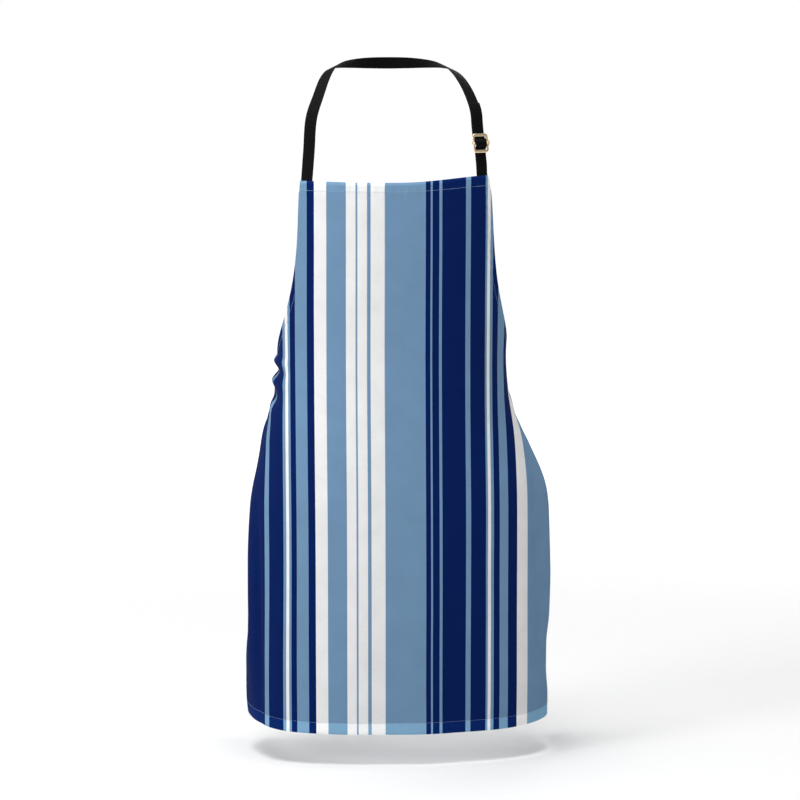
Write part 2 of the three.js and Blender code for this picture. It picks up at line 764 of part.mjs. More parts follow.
function neckWebbing(group) {
  const line = neckStrapLine();
  const end = line.points.length - 1;
  const run = smoothLine(line, 0, line.split, 3);
  const strap = smoothLine(line, line.split, end, 3);
  strap[0].point.addScaledVector(strap[0].along, gap); // clear of the adjusting run's end
  group.add(mesh("neck_strap_run", bandAlong(run), "webbing"));
  group.add(mesh("neck_strap", bandAlong(strap), "webbing"));

  const u = bibHalfWidth - leftStrapInset;
  const sewn = [sewnLength, sewnLength / 2].map((v) => behindPanel(u, v));
  const rising = [0, 0.25, 0.5, 0.75, 1].map((t) => ({
    point: onSlider(THREE.MathUtils.lerp(-sliderHeight, -weaveEnd - gap, t), lowerDepth),
    out: leftOut,
  }));
  group.add(mesh("lower_strap", bandAlong([...sewn, ...rising]), "webbing"));
  const tail = [0, 0.25, 0.5, 0.75, 1].map((t) => ({
    point: onSlider(THREE.MathUtils.lerp(weaveEnd + gap, tailLength, t), lowerDepth),
    out: leftOut,
  }));
  group.add(mesh("lower_strap_tail", bandAlong(tail), "webbing"));

  group.add(
    boxStitchOn("neck_box_stitch_left", behindPanel(u, sewnLength), behindPanel(u, 0)),
    boxStitchOn("neck_box_stitch_right", strap.at(-1), behindPanel(-bibHalfWidth + rightStrapInset, 0)),
  );
}

// A box stitch on the inner face of webbing, halfway between two of its places.
function boxStitchOn(name, from, to) {
  const along = to.point.clone().sub(from.point).normalize();
  const out = from.out.clone().add(to.out);
  out.addScaledVector(along, -out.dot(along)).normalize();
  const middle = from.point.clone().lerp(to.point, 0.5);
  const place = framedAt(middle.addScaledVector(out, -tape / 2 - gap - thread / 2), along, out);
  place.add(mesh(name, boxStitchGeometry(), "blackThread"));
  return place;
}

// ---- waist ties and the bow behind the back ----

const tieBelow = armholeDepth + tapeWidth / 2 + 4; // centre of the ties below the bib's top
const tieZ = clothPoint(panelHalfWidth, tieBelow).z;
const tieSection = sectionAt(tieBelow);
const backY = alongSection(tieSection, 1e9)[1];
const knotCentre = vec(0, backY + strapOffset + knotBackset, tieZ);

// A tie's places: sewn behind the corner, then round the back to the knot.
function tiePlaces(side) {
  const sewnU = panelHalfWidth - sewnLength;
  const around = tieSection.lengths.at(-1);
  const places = [sewnU, panelHalfWidth].map((u) => behindPanel(side * u, tieBelow));
  const outs = places[0].out.clone().add(places[1].out).normalize();
  const sewnAlong = places[1].point.clone().sub(places[0].point).normalize();
  for (const place of places) Object.assign(place, { out: outs, along: sewnAlong });
  const free = 5;
  for (let i = 1; i <= free; i++) {
    const arc = THREE.MathUtils.lerp(panelHalfWidth, around, i / (free + 0.9));
    const [x, y] = alongSection(tieSection, side * arc);
    const [ahead, behind] = [alongSection(tieSection, side * (arc + 2)), alongSection(tieSection, side * (arc - 2))];
    const along = vec(ahead[0] - behind[0], ahead[1] - behind[1], 0).normalize();
    const out = along.cross(vec(0, 0, side)).normalize();
    const drift = (i / free) * (knotBackset + tieDepth);
    places.push({ point: vec(x, y, tieZ).addScaledVector(out, strapOffset + drift), out });
  }
  const knotSide = knot.halfWidth + gap;
  places.push({ point: vec(side * knotSide, knotCentre.y + tieDepth, tieZ), out: vec(0, 1, 0) });
  return places;
}

// A bow loop: a teardrop of webbing that leaves the knot and comes back to it, drooping.
function loopPlaces(side) {
  const outward = vec(side * Math.cos(loopDroop), 0, -Math.sin(loopDroop));
  const places = [];
  const steps = 22;
  const lowered = (tapeWidth / 2) * Math.sin(loopDroop); // the end's corner nearest the knot
  const start = (knot.halfWidth + gap + lowered) / Math.cos(loopDroop);
  for (let i = 0; i <= steps; i++) {
    const t = (i / steps) * 2 - 1; // -1 and 1 at the knot, 0 at the loop's end
    const reach = start + (loopLength - start) * Math.cos((t * Math.PI) / 2) ** 0.8;
    const turn = (t * Math.PI) / 2;
    const swell = loopFatness * Math.cos(turn) ** 2 * (0.9 + 1.1 * Math.sin(turn));
    const point = knotCentre.clone().addScaledVector(outward, reach);
    point.y += loopDepth + swell + (tape + gap) * 0.7 * t;
    point.z += loopRise;
    places.push({ point });
  }
  places.forEach((place, i) => {
    const before = places[Math.max(i - 1, 0)].point;
    const after = places[Math.min(i + 1, steps)].point;
    const width = vec(side * Math.sin(loopDroop), 0, Math.cos(loopDroop));
    place.out = after.clone().sub(before).cross(width).normalize();
  });
  return places;
}

const tailTop = knotCentre.z - knot.halfHeight - swingGap;

// A tail: hangs plumb from the knot, spreading a little to its side.
function tailPlaces(side, length) {
  const places = [];
  const steps = 12;
  for (let i = 0; i <= steps; i++) {
    const t = i / steps;
    const spread = tapeWidth / 2 + 1 + (tailSpread - tapeWidth / 2) * (1 - (1 - t) ** 2);
    places.push({
      point: vec(side * spread, knotCentre.y, tailTop - length * t),
      out: vec(0, 1, 0),
    });
  }
  return places;
}

function waistTies(group) {
  for (const [name, side] of [["left", 1], ["right", -1]]) {
    const tie = tiePlaces(side);
    group.add(mesh(`waist_tie_${name}`, bandAlong(tie), "webbing"));
    group.add(boxStitchOn(`tie_box_stitch_${name}`, tie[0], tie[1]));
    group.add(mesh(`bow_loop_${name}`, bandAlong(loopPlaces(side)), "webbing"));
    const tail = tailPlaces(side, tails[name]);
    group.add(mesh(`tie_tail_${name}`, bandAlong(tail), "webbing"));
    const [last, before] = [tail.at(-1), tail.at(-2)];
    const down = last.point.clone().sub(before.point).normalize();
    const fold = [0, 1].map((t) => ({
      point: last.point
        .clone()
        .addScaledVector(down, -tipFold * (1 - t))
        .addScaledVector(last.out, tape + gap),
      out: last.out,
    }));
    group.add(mesh(`tail_tip_${name}`, bandAlong(fold), "webbing"));
  }
  const face = roundedRectangle(2 * knot.halfWidth, 2 * knot.halfHeight, knot.corner);
  const lump = new THREE.ExtrudeGeometry(face, {
    depth: 2 * (knot.halfDepth - knot.rounding),
    bevelThickness: knot.rounding,
    bevelSize: knot.rounding,
    bevelOffset: -knot.rounding,
    bevelSegments: 3,
    curveSegments: 4,
  });
  lump.translate(0, 0, knot.rounding - knot.halfDepth).rotateX(Math.PI / 2);
  lump.translate(knotCentre.x, knotCentre.y, knotCentre.z);
  group.add(mesh("bow_knot", lump, "webbing"));
}

// ---- care label, sewn beside the left side hem ----

function careLabel(group) {
  const u = panelHalfWidth - edgeHem - label.inset - label.width / 2;
  const v = label.below + label.height / 2;
  const middleOf = (...places) =>
    places.reduce((sum, [du, dv]) => {
      const { point } = facetAt(u + du * label.width, v + dv * label.height);
      return sum.addScaledVector(point, 1 / places.length);
    }, vec(0, 0, 0));
  const [out, inn, low, high] = [0.5, -0.5, 0.5, -0.5];
  const up = middleOf([out, high], [inn, high]).sub(middleOf([out, low], [inn, low])).normalize();
  const across = middleOf([out, high], [out, low]).sub(middleOf([inn, high], [inn, low]));
  const normal = across.cross(up).normalize();
  const middle = middleOf([out, high], [out, low], [inn, high], [inn, low]);
  const depth = cloth / 2 + gap + label.bow + label.thickness / 2;
  const place = framedAt(middle.addScaledVector(normal, -depth), up, normal);
  const plate = new THREE.BoxGeometry(label.width, label.thickness, label.height);
  place.add(mesh("care_label", plate, "label"));
  group.add(place);
}

const apron = new THREE.Group();
panelAndHems(apron);
sliderAssembly(apron);
neckWebbing(apron);
waistTies(apron);
careLabel(apron);

export default apron;
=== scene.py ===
"""The visual model of a butcher apron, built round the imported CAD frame.

The cloth, webbing and thread are made from the same flat pattern and routes as the CAD solids that they
stand for, and the slider is modelled anew. Sizes inside the classes are in millimetres, and a mesh is in
metres, in the frame's own axes: +X is the wearer's left, -Y is the front and +Z is up.
"""

from __future__ import annotations

import json
import logging
import math
from collections.abc import Callable
from dataclasses import dataclass, field
from enum import Enum

import bmesh
import bpy
import numpy as np
from mathutils import Matrix, Vector


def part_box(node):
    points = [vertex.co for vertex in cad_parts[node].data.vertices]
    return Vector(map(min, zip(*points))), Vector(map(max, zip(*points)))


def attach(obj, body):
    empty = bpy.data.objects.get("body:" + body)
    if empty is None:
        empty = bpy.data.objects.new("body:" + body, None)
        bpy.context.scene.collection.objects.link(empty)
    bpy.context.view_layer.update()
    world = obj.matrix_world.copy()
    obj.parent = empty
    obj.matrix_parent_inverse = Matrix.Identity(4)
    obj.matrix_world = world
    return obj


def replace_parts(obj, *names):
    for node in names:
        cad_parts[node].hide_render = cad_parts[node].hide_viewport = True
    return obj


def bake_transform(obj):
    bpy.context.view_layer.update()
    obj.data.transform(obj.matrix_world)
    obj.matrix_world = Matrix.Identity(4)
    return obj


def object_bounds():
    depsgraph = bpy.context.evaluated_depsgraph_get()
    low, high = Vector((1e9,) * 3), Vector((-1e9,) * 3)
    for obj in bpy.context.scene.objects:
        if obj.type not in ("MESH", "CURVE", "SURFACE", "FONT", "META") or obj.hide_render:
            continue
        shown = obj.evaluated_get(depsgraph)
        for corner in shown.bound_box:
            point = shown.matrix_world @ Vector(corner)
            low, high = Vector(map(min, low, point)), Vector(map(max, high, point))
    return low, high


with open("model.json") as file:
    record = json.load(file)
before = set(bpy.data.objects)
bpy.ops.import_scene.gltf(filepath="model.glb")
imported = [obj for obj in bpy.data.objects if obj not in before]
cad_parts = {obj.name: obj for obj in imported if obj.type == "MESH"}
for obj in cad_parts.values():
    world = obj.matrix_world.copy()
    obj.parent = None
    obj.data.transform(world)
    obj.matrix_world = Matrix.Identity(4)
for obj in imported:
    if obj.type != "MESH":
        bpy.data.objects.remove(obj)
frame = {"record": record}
cad_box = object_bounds()

log = logging.getLogger("apron")

MM = 0.001
SQUARE_ON = 0.9  # a face looks along an axis when this much of its normal does
Array = np.ndarray
Piece = bpy.types.Object
Material = bpy.types.Material
Socket = bpy.types.NodeSocket
Triple = tuple[float, float, float]
Colour = Triple
Face = tuple[int, ...]
Rows = list[tuple[Array, Array]]  # lines of stitches, each with the way that the cloth faces along it


class Side(Enum):
    """The wearer's side that a piece is on."""

    LEFT = 1
    RIGHT = -1

    @property
    def word(self) -> str:
        """The side's name as it stands in the names of pieces."""
        return self.name.lower()


class Body(Enum):
    """The CAD bodies that pieces ride on."""

    APRON = "apron"
    CARRIAGE = "strap_carriage"
    SLIDER = "slider"
    TAIL_LEFT = "tail_left"
    TAIL_RIGHT = "tail_right"


class Slot(Enum):
    """The record's material slots."""

    PRINT = "print"
    WEBBING = "webbing"
    THREAD = "thread"
    BLACK_THREAD = "black_thread"
    METAL = "metal"
    LABEL = "label"


class Dye(Enum):
    """The print's three colours, as linear red, green and blue."""

    NAVY = (0.0012, 0.013, 0.1)
    LIGHT = (0.165, 0.292, 0.455)
    WHITE = (0.86, 0.86, 0.865)


# ---- arithmetic ----


def unit(vectors: Array) -> Array:
    """The same directions, one long."""
    return vectors / np.maximum(np.linalg.norm(vectors, axis=-1, keepdims=True), 1e-12)


def smoothstep(low: float, high: float, values: Array) -> Array:
    """A soft step from 0 at low to 1 at high."""
    t = np.clip((values - low) / (high - low), 0, 1)
    return t * t * (3 - 2 * t)


def through(points: Array, per_span: int) -> Array:
    """A smooth curve through points.

    Args:
        points: the points, one a row.
        per_span: how many steps lie between two neighbouring points.

    Returns:
        The curve's places, one a row, as a centripetal Catmull-Rom curve draws them.
    """
    p = np.asarray(points, float)
    padded = np.vstack([2 * p[0] - p[1], p, 2 * p[-1] - p[-2]])
    places = []
    for i in range(len(p) - 1):
        a, b, c, d = padded[i : i + 4]
        spans = ((b, a), (c, b), (d, c))
        before, here, after = (max(math.sqrt(np.linalg.norm(q - r)), 1e-3) for q, r in spans)
        start = ((b - a) / before - (c - a) / (before + here) + (c - b) / here) * here
        end = ((c - b) / here - (d - b) / (here + after) + (d - c) / after) * here
        for t in np.arange(per_span) / per_span:
            places.append(
                (2 * t**3 - 3 * t**2 + 1) * b
                + (t**3 - 2 * t**2 + t) * start
                + (3 * t**2 - 2 * t**3) * c
                + (t**3 - t**2) * end
            )
    return np.vstack([places, p[-1]])


def arc_lengths(points: Array) -> Array:
    """The length along a polyline at each of its points."""
    steps = np.linalg.norm(np.diff(points, axis=0), axis=1)
    return np.concatenate([[0], np.cumsum(steps)])


def read_off(values: Array, lengths: Array, targets: Array) -> Array:
    """Rows of values at lengths between their own."""
    return np.stack([np.interp(targets, lengths, values[:, k]) for k in range(values.shape[1])], axis=1)


def resampled(points: Array, spacing: float) -> Array:
    """The same polyline with its points evenly spaced, about spacing apart.

    Args:
        points: the polyline.
        spacing: the new spacing.

    Returns:
        The new places, one a row.
    """
    lengths = arc_lengths(points)
    count = max(2, int(round(lengths[-1] / spacing)) + 1)
    return read_off(points, lengths, np.linspace(0, lengths[-1], count))


def joint_axis(name: str) -> Array:
    """The direction of one of the record's joints."""
    joint = next(j for j in frame["record"]["behaviour"]["joints"] if j["name"] == name)
    return unit(np.array(joint["axis"], float))


def node_middle(node: str) -> Array:
    """The middle of a CAD node's box, in millimetres."""
    low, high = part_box(node)
    return (np.array(low) + np.array(high)) / 2 / MM


# ---- finishes ----


class NodeBook:
    """A material's node tree, with short ways to add and join its nodes."""

    def __init__(self, name: str) -> None:
        """Starts a material that holds a Principled shader and its output."""
        self.material = bpy.data.materials.new(name)
        self.material.use_nodes = True
        self.tree = self.material.node_tree
        self.shader = self.tree.nodes["Principled BSDF"]

    def add(self, kind: str, **settings: object) -> bpy.types.Node:
        """A new node of a kind, with its settings.

        Args:
            kind: the node's type.
            settings: its properties by name.

        Returns:
            The node.
        """
        node = self.tree.nodes.new(kind)
        for name, value in settings.items():
            setattr(node, name, value)
        return node

    def put(self, socket: Socket, value: object) -> None:
        """Joins a socket to another node's, or sets it to a plain value."""
        if isinstance(value, Socket):
            self.tree.links.new(value, socket)
        elif isinstance(value, tuple) and len(value) == 3 and socket.type == "RGBA":
            socket.default_value = (*value, 1)
        else:
            socket.default_value = value

    def set(self, **values: object) -> None:
        """Puts values on the shader's sockets, with spaces in their names written as underscores."""
        for name, value in values.items():
            self.put(self.shader.inputs[name.replace("_", " ")], value)

    def math(self, operation: str, a: object, b: object = 0.0, c: object = 0.0) -> Socket:
        """A number worked out from up to three others.

        Args:
            operation: Blender's name for it.
            a: a number or a socket.
            b: the same.
            c: the same.

        Returns:
            The result.
        """
        node = self.add("ShaderNodeMath", operation=operation)
        for socket, value in zip(node.inputs, (a, b, c)):
            self.put(socket, value)
        return node.outputs[0]

    def mix(self, share: object, a: object, b: object, blend: str = "MIX") -> Socket:
        """A colour between two others, none of it over one.

        Args:
            share: how much of b there is.
            a: a colour or a socket.
            b: the same.
            blend: how they mix.

        Returns:
            The colour.
        """
        node = self.add("ShaderNodeMix", data_type="RGBA", blend_type=blend, clamp_result=True)
        for index, value in ((0, share), (6, a), (7, b)):
            self.put(node.inputs[index], value)
        return node.outputs[2]

    def noise(self, vector: object, scale: float, detail: float = 2.0) -> Socket:
        """Noise from 0 to 1 over a vector.

        Args:
            vector: the coordinates.
            scale: patches to a unit of them.
            detail: how many octaves.

        Returns:
            The noise.
        """
        node = self.add("ShaderNodeTexNoise")
        self.put(node.inputs["Vector"], vector)
        self.put(node.inputs["Scale"], scale)
        self.put(node.inputs["Detail"], detail)
        return node.outputs["Fac"]

    def stretched(self, vector: object, scale: Triple) -> Socket:
        """A vector with each of its numbers scaled.

        Args:
            vector: the coordinates.
            scale: one factor for each.

        Returns:
            The new coordinates.
        """
        node = self.add("ShaderNodeMapping")
        self.put(node.inputs["Vector"], vector)
        node.inputs["Scale"].default_value = scale
        return node.outputs[0]

    def shaded(self, colour: object, share: float, noise: object, stops: Triple) -> Socket:
        """A colour darkened where a noise is low.

        Args:
            colour: the plain colour.
            share: how much of the darkening shows.
            noise: a number from 0 to 1.
            stops: the noise at the darkest and at the plain colour, and what the darkest leaves.

        Returns:
            The colour.
        """
        low, high, left = stops
        shade = self.ramp(noise, [(low, (left,) * 3), (high, (1.0,) * 3)])
        return self.mix(share, colour, shade, "MULTIPLY")

    def ramp(self, share: object, stops: list[tuple[float, Colour]], constant: bool = False) -> Socket:
        """A colour read off a list of stops, stepped or smooth.

        Args:
            share: the number that is looked up.
            stops: each stop's place and colour.
            constant: whether it steps.

        Returns:
            The colour.
        """
        node = self.add("ShaderNodeValToRGB")
        ramp = node.color_ramp
        ramp.interpolation = "CONSTANT" if constant else "LINEAR"
        while len(ramp.elements) < len(stops):
            ramp.elements.new(1)
        for element, (place, colour) in zip(ramp.elements, stops):
            element.position = place
            element.color = (*colour, 1)
        self.put(node.inputs[0], share)
        return node.outputs[0]

    def wave(self, length: object, pitch: float) -> Socket:
        """A sine from 0 to 1 of a length in metres, with a pitch in millimetres."""
        turned = self.math("MULTIPLY", length, 2 * math.pi / (pitch * MM))
        return self.math("MULTIPLY_ADD", self.math("SINE", turned), 0.5, 0.5)

    def bump(self, height: object, strength: float, distance: float, under: object = None) -> Socket:
        """A surface normal roughened by a height.

        Args:
            height: a number or a socket.
            strength: from 0 to 1.
            distance: the height's size in millimetres.
            under: a rougher normal that this one lies on.

        Returns:
            The normal.
        """
        node = self.add("ShaderNodeBump")
        self.put(node.inputs["Strength"], strength)
        self.put(node.inputs["Distance"], distance * MM)
        self.put(node.inputs["Height"], height)
        if under is not None:
            self.put(node.inputs["Normal"], under)
        return node.outputs[0]

    def surface_map(self) -> tuple[object, object, object]:
        """The piece's own UV map, in metres, as a vector and its two numbers."""
        uv = self.add("ShaderNodeUVMap", uv_map="UVMap").outputs[0]
        parts = self.add("ShaderNodeSeparateXYZ")
        self.put(parts.inputs[0], uv)
        return uv, parts.outputs[0], parts.outputs[1]

    def object_map(self) -> Socket:
        """Object coordinates, which are the frame's own."""
        return self.add("ShaderNodeTexCoord").outputs["Object"]


@dataclass(frozen=True)
class PrintedTwill:
    """Twill with the stripes printed on it, or their pale show-through on its reverse.

    The stripes are (width, colour) from the wearer's right edge to the left one.
    """

    reverse: bool = False
    half_width: float = 330
    length: float = 775
    bottom_band: float = 15.5
    top_band: float = 12.5
    feather: float = 0.25  # unevenness of a stripe's edge
    clouding: Triple = (0.3, 0.7, 0.86)
    streaking: Triple = (0.25, 0.75, 0.82)
    ground: Colour = (0.66, 0.68, 0.71)
    unprinted: float = 0.68  # how much of the reverse is plain ground
    top_doubling: float = 0.15  # how far the doubling shows at each band
    bottom_doubling: float = 0.9
    doubling: Colour = (1.5, 1.6, 1.5)
    stripes: tuple[tuple[float, Dye], ...] = (
        (22, Dye.LIGHT), (6.5, Dye.NAVY), (2.5, Dye.LIGHT), (9.5, Dye.NAVY),
        (2.5, Dye.LIGHT), (81, Dye.NAVY), (10, Dye.LIGHT), (26, Dye.NAVY),
        (5.5, Dye.LIGHT), (4.5, Dye.WHITE), (4, Dye.LIGHT), (8, Dye.NAVY),
        (18.5, Dye.LIGHT), (11.5, Dye.NAVY), (18, Dye.WHITE), (28, Dye.LIGHT),
        (13, Dye.WHITE), (3.5, Dye.LIGHT), (12.5, Dye.WHITE), (5.5, Dye.LIGHT),
        (20, Dye.WHITE), (56, Dye.LIGHT), (7.5, Dye.NAVY), (2.5, Dye.LIGHT),
        (10, Dye.NAVY), (3, Dye.LIGHT), (33.5, Dye.NAVY), (6.5, Dye.LIGHT),
        (19.5, Dye.NAVY), (3.5, Dye.LIGHT), (4, Dye.WHITE), (3.5, Dye.LIGHT),
        (8.5, Dye.NAVY), (13, Dye.LIGHT), (13.5, Dye.NAVY), (17, Dye.WHITE),
        (58, Dye.LIGHT), (13, Dye.WHITE), (3.5, Dye.LIGHT), (12.5, Dye.WHITE),
        (5.5, Dye.LIGHT), (20, Dye.WHITE), (33.5, Dye.LIGHT),
    )

    def build(self) -> Material:
        """The finish as a material.

        Returns:
            The material.
        """
        book = NodeBook("twill_reverse" if self.reverse else "twill_print")
        uv, across, down = book.surface_map()
        colour = self.striped(book, uv, across)
        cloudy = book.noise(uv, 26, 3)
        colour = book.shaded(colour, 0.5, cloudy, self.clouding)
        yarns = book.noise(book.stretched(uv, (1900, 260, 1)), 1, 2)
        colour = book.shaded(colour, 0.55, yarns, self.streaking)
        if self.reverse:
            colour = book.mix(self.unprinted, colour, self.ground)
        else:
            colour = book.mix(self.doubled(book, down), colour, self.doubling, "MULTIPLY")
        book.set(Base_Color=colour, Roughness=0.88, Sheen_Weight=0.01, Sheen_Roughness=0.5)
        book.set(Specular_IOR_Level=0.05, Normal=self.weave(book, uv, across, down))
        return book.material

    def striped(self, book: NodeBook, uv: object, across: object) -> Socket:
        """The stripes' colour, off two ramps that share the width.

        Args:
            book: the material's nodes.
            uv: the surface map.
            across: its first number.

        Returns:
            The colour.
        """
        wander = book.math("SUBTRACT", book.noise(uv, 900, 1), 0.5)
        place = book.math("MULTIPLY_ADD", wander, self.feather * MM, across)
        width = 2 * self.half_width * MM
        share = book.math("MULTIPLY_ADD", place, 1 / width, 0.5)
        starts = np.concatenate([[0], np.cumsum([w for w, _ in self.stripes])[:-1]]) / (2 * self.half_width)
        half = len(self.stripes) // 2
        middle = float(starts[half])
        dyes = [dye.value for _, dye in self.stripes]
        right = [(float(s) / middle, d) for s, d in zip(starts[:half], dyes[:half])]
        left = [((float(s) - middle) / (1 - middle), d) for s, d in zip(starts[half:], dyes[half:])]
        on_right = book.ramp(book.math("DIVIDE", share, middle), right, constant=True)
        past = book.math("SUBTRACT", share, middle)
        on_left = book.ramp(book.math("DIVIDE", past, 1 - middle), left, constant=True)
        return book.mix(book.math("GREATER_THAN", past, 0.0), on_right, on_left)

    def doubled(self, book: NodeBook, down: object) -> Socket:
        """How much paler the cloth is where a hem lies behind it."""
        bottom = book.math("GREATER_THAN", down, (self.length - self.bottom_band) * MM)
        top = book.math("LESS_THAN", down, self.top_band * MM)
        below = book.math("MULTIPLY", bottom, self.bottom_doubling)
        return book.math("MULTIPLY_ADD", top, self.top_doubling, below)

    def weave(self, book: NodeBook, uv: object, across: object, down: object) -> Socket:
        """The twill's ribs, its yarns and the cloth's slight unevenness.

        Args:
            book: the material's nodes.
            uv: the surface map.
            across: its first number.
            down: its second number.

        Returns:
            The normal.
        """
        diagonal = book.wave(book.math("MULTIPLY_ADD", down, 0.55, across), 1.1)
        weft = book.wave(down, 0.62)
        ribs = book.math("MULTIPLY_ADD", weft, 0.35, diagonal)
        slub = book.noise(book.stretched(uv, (320, 1500, 1)), 1, 2)
        height = book.math("MULTIPLY_ADD", slub, 0.9, ribs)
        soft = book.bump(book.noise(uv, 55, 2), 0.35, 1.2)
        return book.bump(height, 0.42, 0.16, soft)


@dataclass(frozen=True)
class RibbedWebbing:
    """Black woven tape with a rib across it, firmer selvedges and a little lint."""

    width: float = 17
    colour: Colour = (0.0022, 0.0022, 0.0026)
    worn: Colour = (0.0055, 0.0055, 0.006)
    rib: float = 1.25
    warp: float = 1.4

    def build(self) -> Material:
        """The finish as a material.

        Returns:
            The material.
        """
        book = NodeBook("ribbed_webbing")
        uv, across, along = book.surface_map()
        cord = book.math("SINE", book.math("MULTIPLY", across, math.pi / (self.warp * MM)))
        offset = book.math("MULTIPLY", book.math("SIGN", cord), 0.5)
        shifted = book.math("MULTIPLY_ADD", offset, 0.5 * self.rib * MM, along)
        ribs = book.wave(shifted, self.rib)
        cords = book.wave(across, self.warp)
        height = book.math("MULTIPLY", ribs, book.math("MULTIPLY_ADD", cords, 0.5, 0.5))
        fuzz = book.noise(book.stretched(uv, (900, 900, 1)), 1, 3)
        edge = book.math("GREATER_THAN", book.math("ABSOLUTE", across), (self.width / 2 - 1.6) * MM)
        rubbed = book.math("MULTIPLY_ADD", edge, 0.25, book.math("MULTIPLY", fuzz, 0.5))
        book.set(Base_Color=book.mix(rubbed, self.colour, self.worn), Sheen_Weight=0.01, Sheen_Roughness=0.55)
        book.set(Roughness=book.math("MULTIPLY_ADD", fuzz, 0.2, 0.55), Specular_IOR_Level=0.05)
        book.set(Normal=book.bump(book.math("MULTIPLY_ADD", fuzz, 0.3, height), 0.6, 0.25))
        return book.material


@dataclass(frozen=True)
class SewingThread:
    """Twisted thread, in one colour, with painted shade where its plies' bump is low."""

    name: str
    colour: Colour

    def build(self) -> Material:
        """The finish as a material.

        Returns:
            The material.
        """
        book = NodeBook(self.name)
        place = book.object_map()
        plies = book.noise(book.stretched(place, (2600, 2600, 5200)), 1, 1)
        # painted shade: the thread is darkest where the plies' bump is lowest
        painted_ply_shade = tuple(0.7 * c for c in self.colour)
        book.set(Base_Color=book.mix(plies, painted_ply_shade, self.colour), Sheen_Weight=0.2)
        book.set(Roughness=book.math("MULTIPLY_ADD", plies, 0.2, 0.5), Normal=book.bump(plies, 0.5, 0.08))
        return book.material


@dataclass(frozen=True)
class PalePlating:
    """Polished plating in a pale gold, hazed by handling and rubbed brighter along its edges."""

    colour: Colour = (0.93, 0.7, 0.42)
    bright: Colour = (1.0, 0.86, 0.64)

    def build(self) -> Material:
        """The finish as a material.

        Returns:
            The material.
        """
        book = NodeBook("pale_gold_plating")
        place = book.object_map()
        haze = book.noise(place, 320, 3)
        scratches = book.noise(book.stretched(place, (600, 600, 9000)), 1, 2)
        corners = book.add("ShaderNodeNewGeometry").outputs["Pointiness"]
        rubbed = book.ramp(corners, [(0.5, (0.0,) * 3), (0.58, (1.0,) * 3)])
        book.set(Base_Color=book.mix(rubbed, self.colour, self.bright), Metallic=1.0)
        book.set(Roughness=book.math("MULTIPLY_ADD", haze, 0.2, 0.24))
        book.set(Normal=book.bump(book.math("MULTIPLY_ADD", scratches, 0.6, haze), 0.12, 0.05))
        return book.material


@dataclass(frozen=True)
class LabelSatin:
    """White satin ribbon, blank, with its weft showing as fine lines, and painted shade where its crumples
    dip.
    """

    colour: Colour = (0.74, 0.74, 0.72)

    def build(self) -> Material:
        """The finish as a material.

        Returns:
            The material.
        """
        book = NodeBook("label_satin")
        uv, _, along = book.surface_map()
        weft = book.wave(along, 0.45)
        crumple = book.noise(uv, 90, 2)
        # painted shade: the colour darkens where the crumple bump is low, in its hollows
        shade = book.ramp(crumple, [(0.3, (0.9, 0.89, 0.87)), (0.7, (1.0, 1.0, 1.0))])
        book.set(Base_Color=book.mix(1.0, self.colour, shade, "MULTIPLY"), Sheen_Weight=0.3)
        book.set(Roughness=0.38, Normal=book.bump(book.math("MULTIPLY_ADD", crumple, 2.0, weft), 0.3, 0.1))
        return book.material


@dataclass(frozen=True)
class StudioPaper:
    """The plain pale paper under the apron, which glows more the further it is from the lamps."""

    colour: Colour = (0.8, 0.8, 0.8)
    grain: Triple = (0.2, 0.8, 0.985)
    near_glow: float = 0.06
    far_glow: float = 0.82
    near: float = 0.5
    far: float = 4.0

    def build(self) -> Material:
        """The finish as a material.

        Returns:
            The material.
        """
        book = NodeBook("studio_paper")
        grain = book.noise(book.object_map(), 60, 2)
        book.set(Base_Color=book.shaded(self.colour, 1.0, grain, self.grain), Roughness=0.95)
        reach = book.add("ShaderNodeVectorMath", operation="LENGTH")
        book.put(reach.inputs[0], book.stretched(book.object_map(), (1.0, 1.0, 0.0)))
        fade = book.add("ShaderNodeMapRange", interpolation_type="SMOOTHSTEP")
        values = (reach.outputs["Value"], self.near, self.far, self.near_glow, self.far_glow)
        for socket, value in zip(fade.inputs, values):
            book.put(socket, value)
        book.set(Emission_Color=(1.0, 1.0, 1.0), Emission_Strength=fade.outputs[0], Specular_IOR_Level=0.0)
        return book.material


@dataclass(frozen=True)
class Finishes:
    """Every finish of the apron, built once."""

    front: Material = field(default_factory=lambda: PrintedTwill().build())
    reverse: Material = field(default_factory=lambda: PrintedTwill(reverse=True).build())
    webbing: Material = field(default_factory=lambda: RibbedWebbing().build())
    thread: Material = field(
        default_factory=lambda: SewingThread("pale_blue_thread", (0.3, 0.42, 0.58)).build()
    )
    black_thread: Material = field(
        default_factory=lambda: SewingThread("black_thread", (0.016, 0.016, 0.018)).build()
    )
    plating: Material = field(default_factory=lambda: PalePlating().build())
    satin: Material = field(default_factory=lambda: LabelSatin().build())


# ---- meshes ----


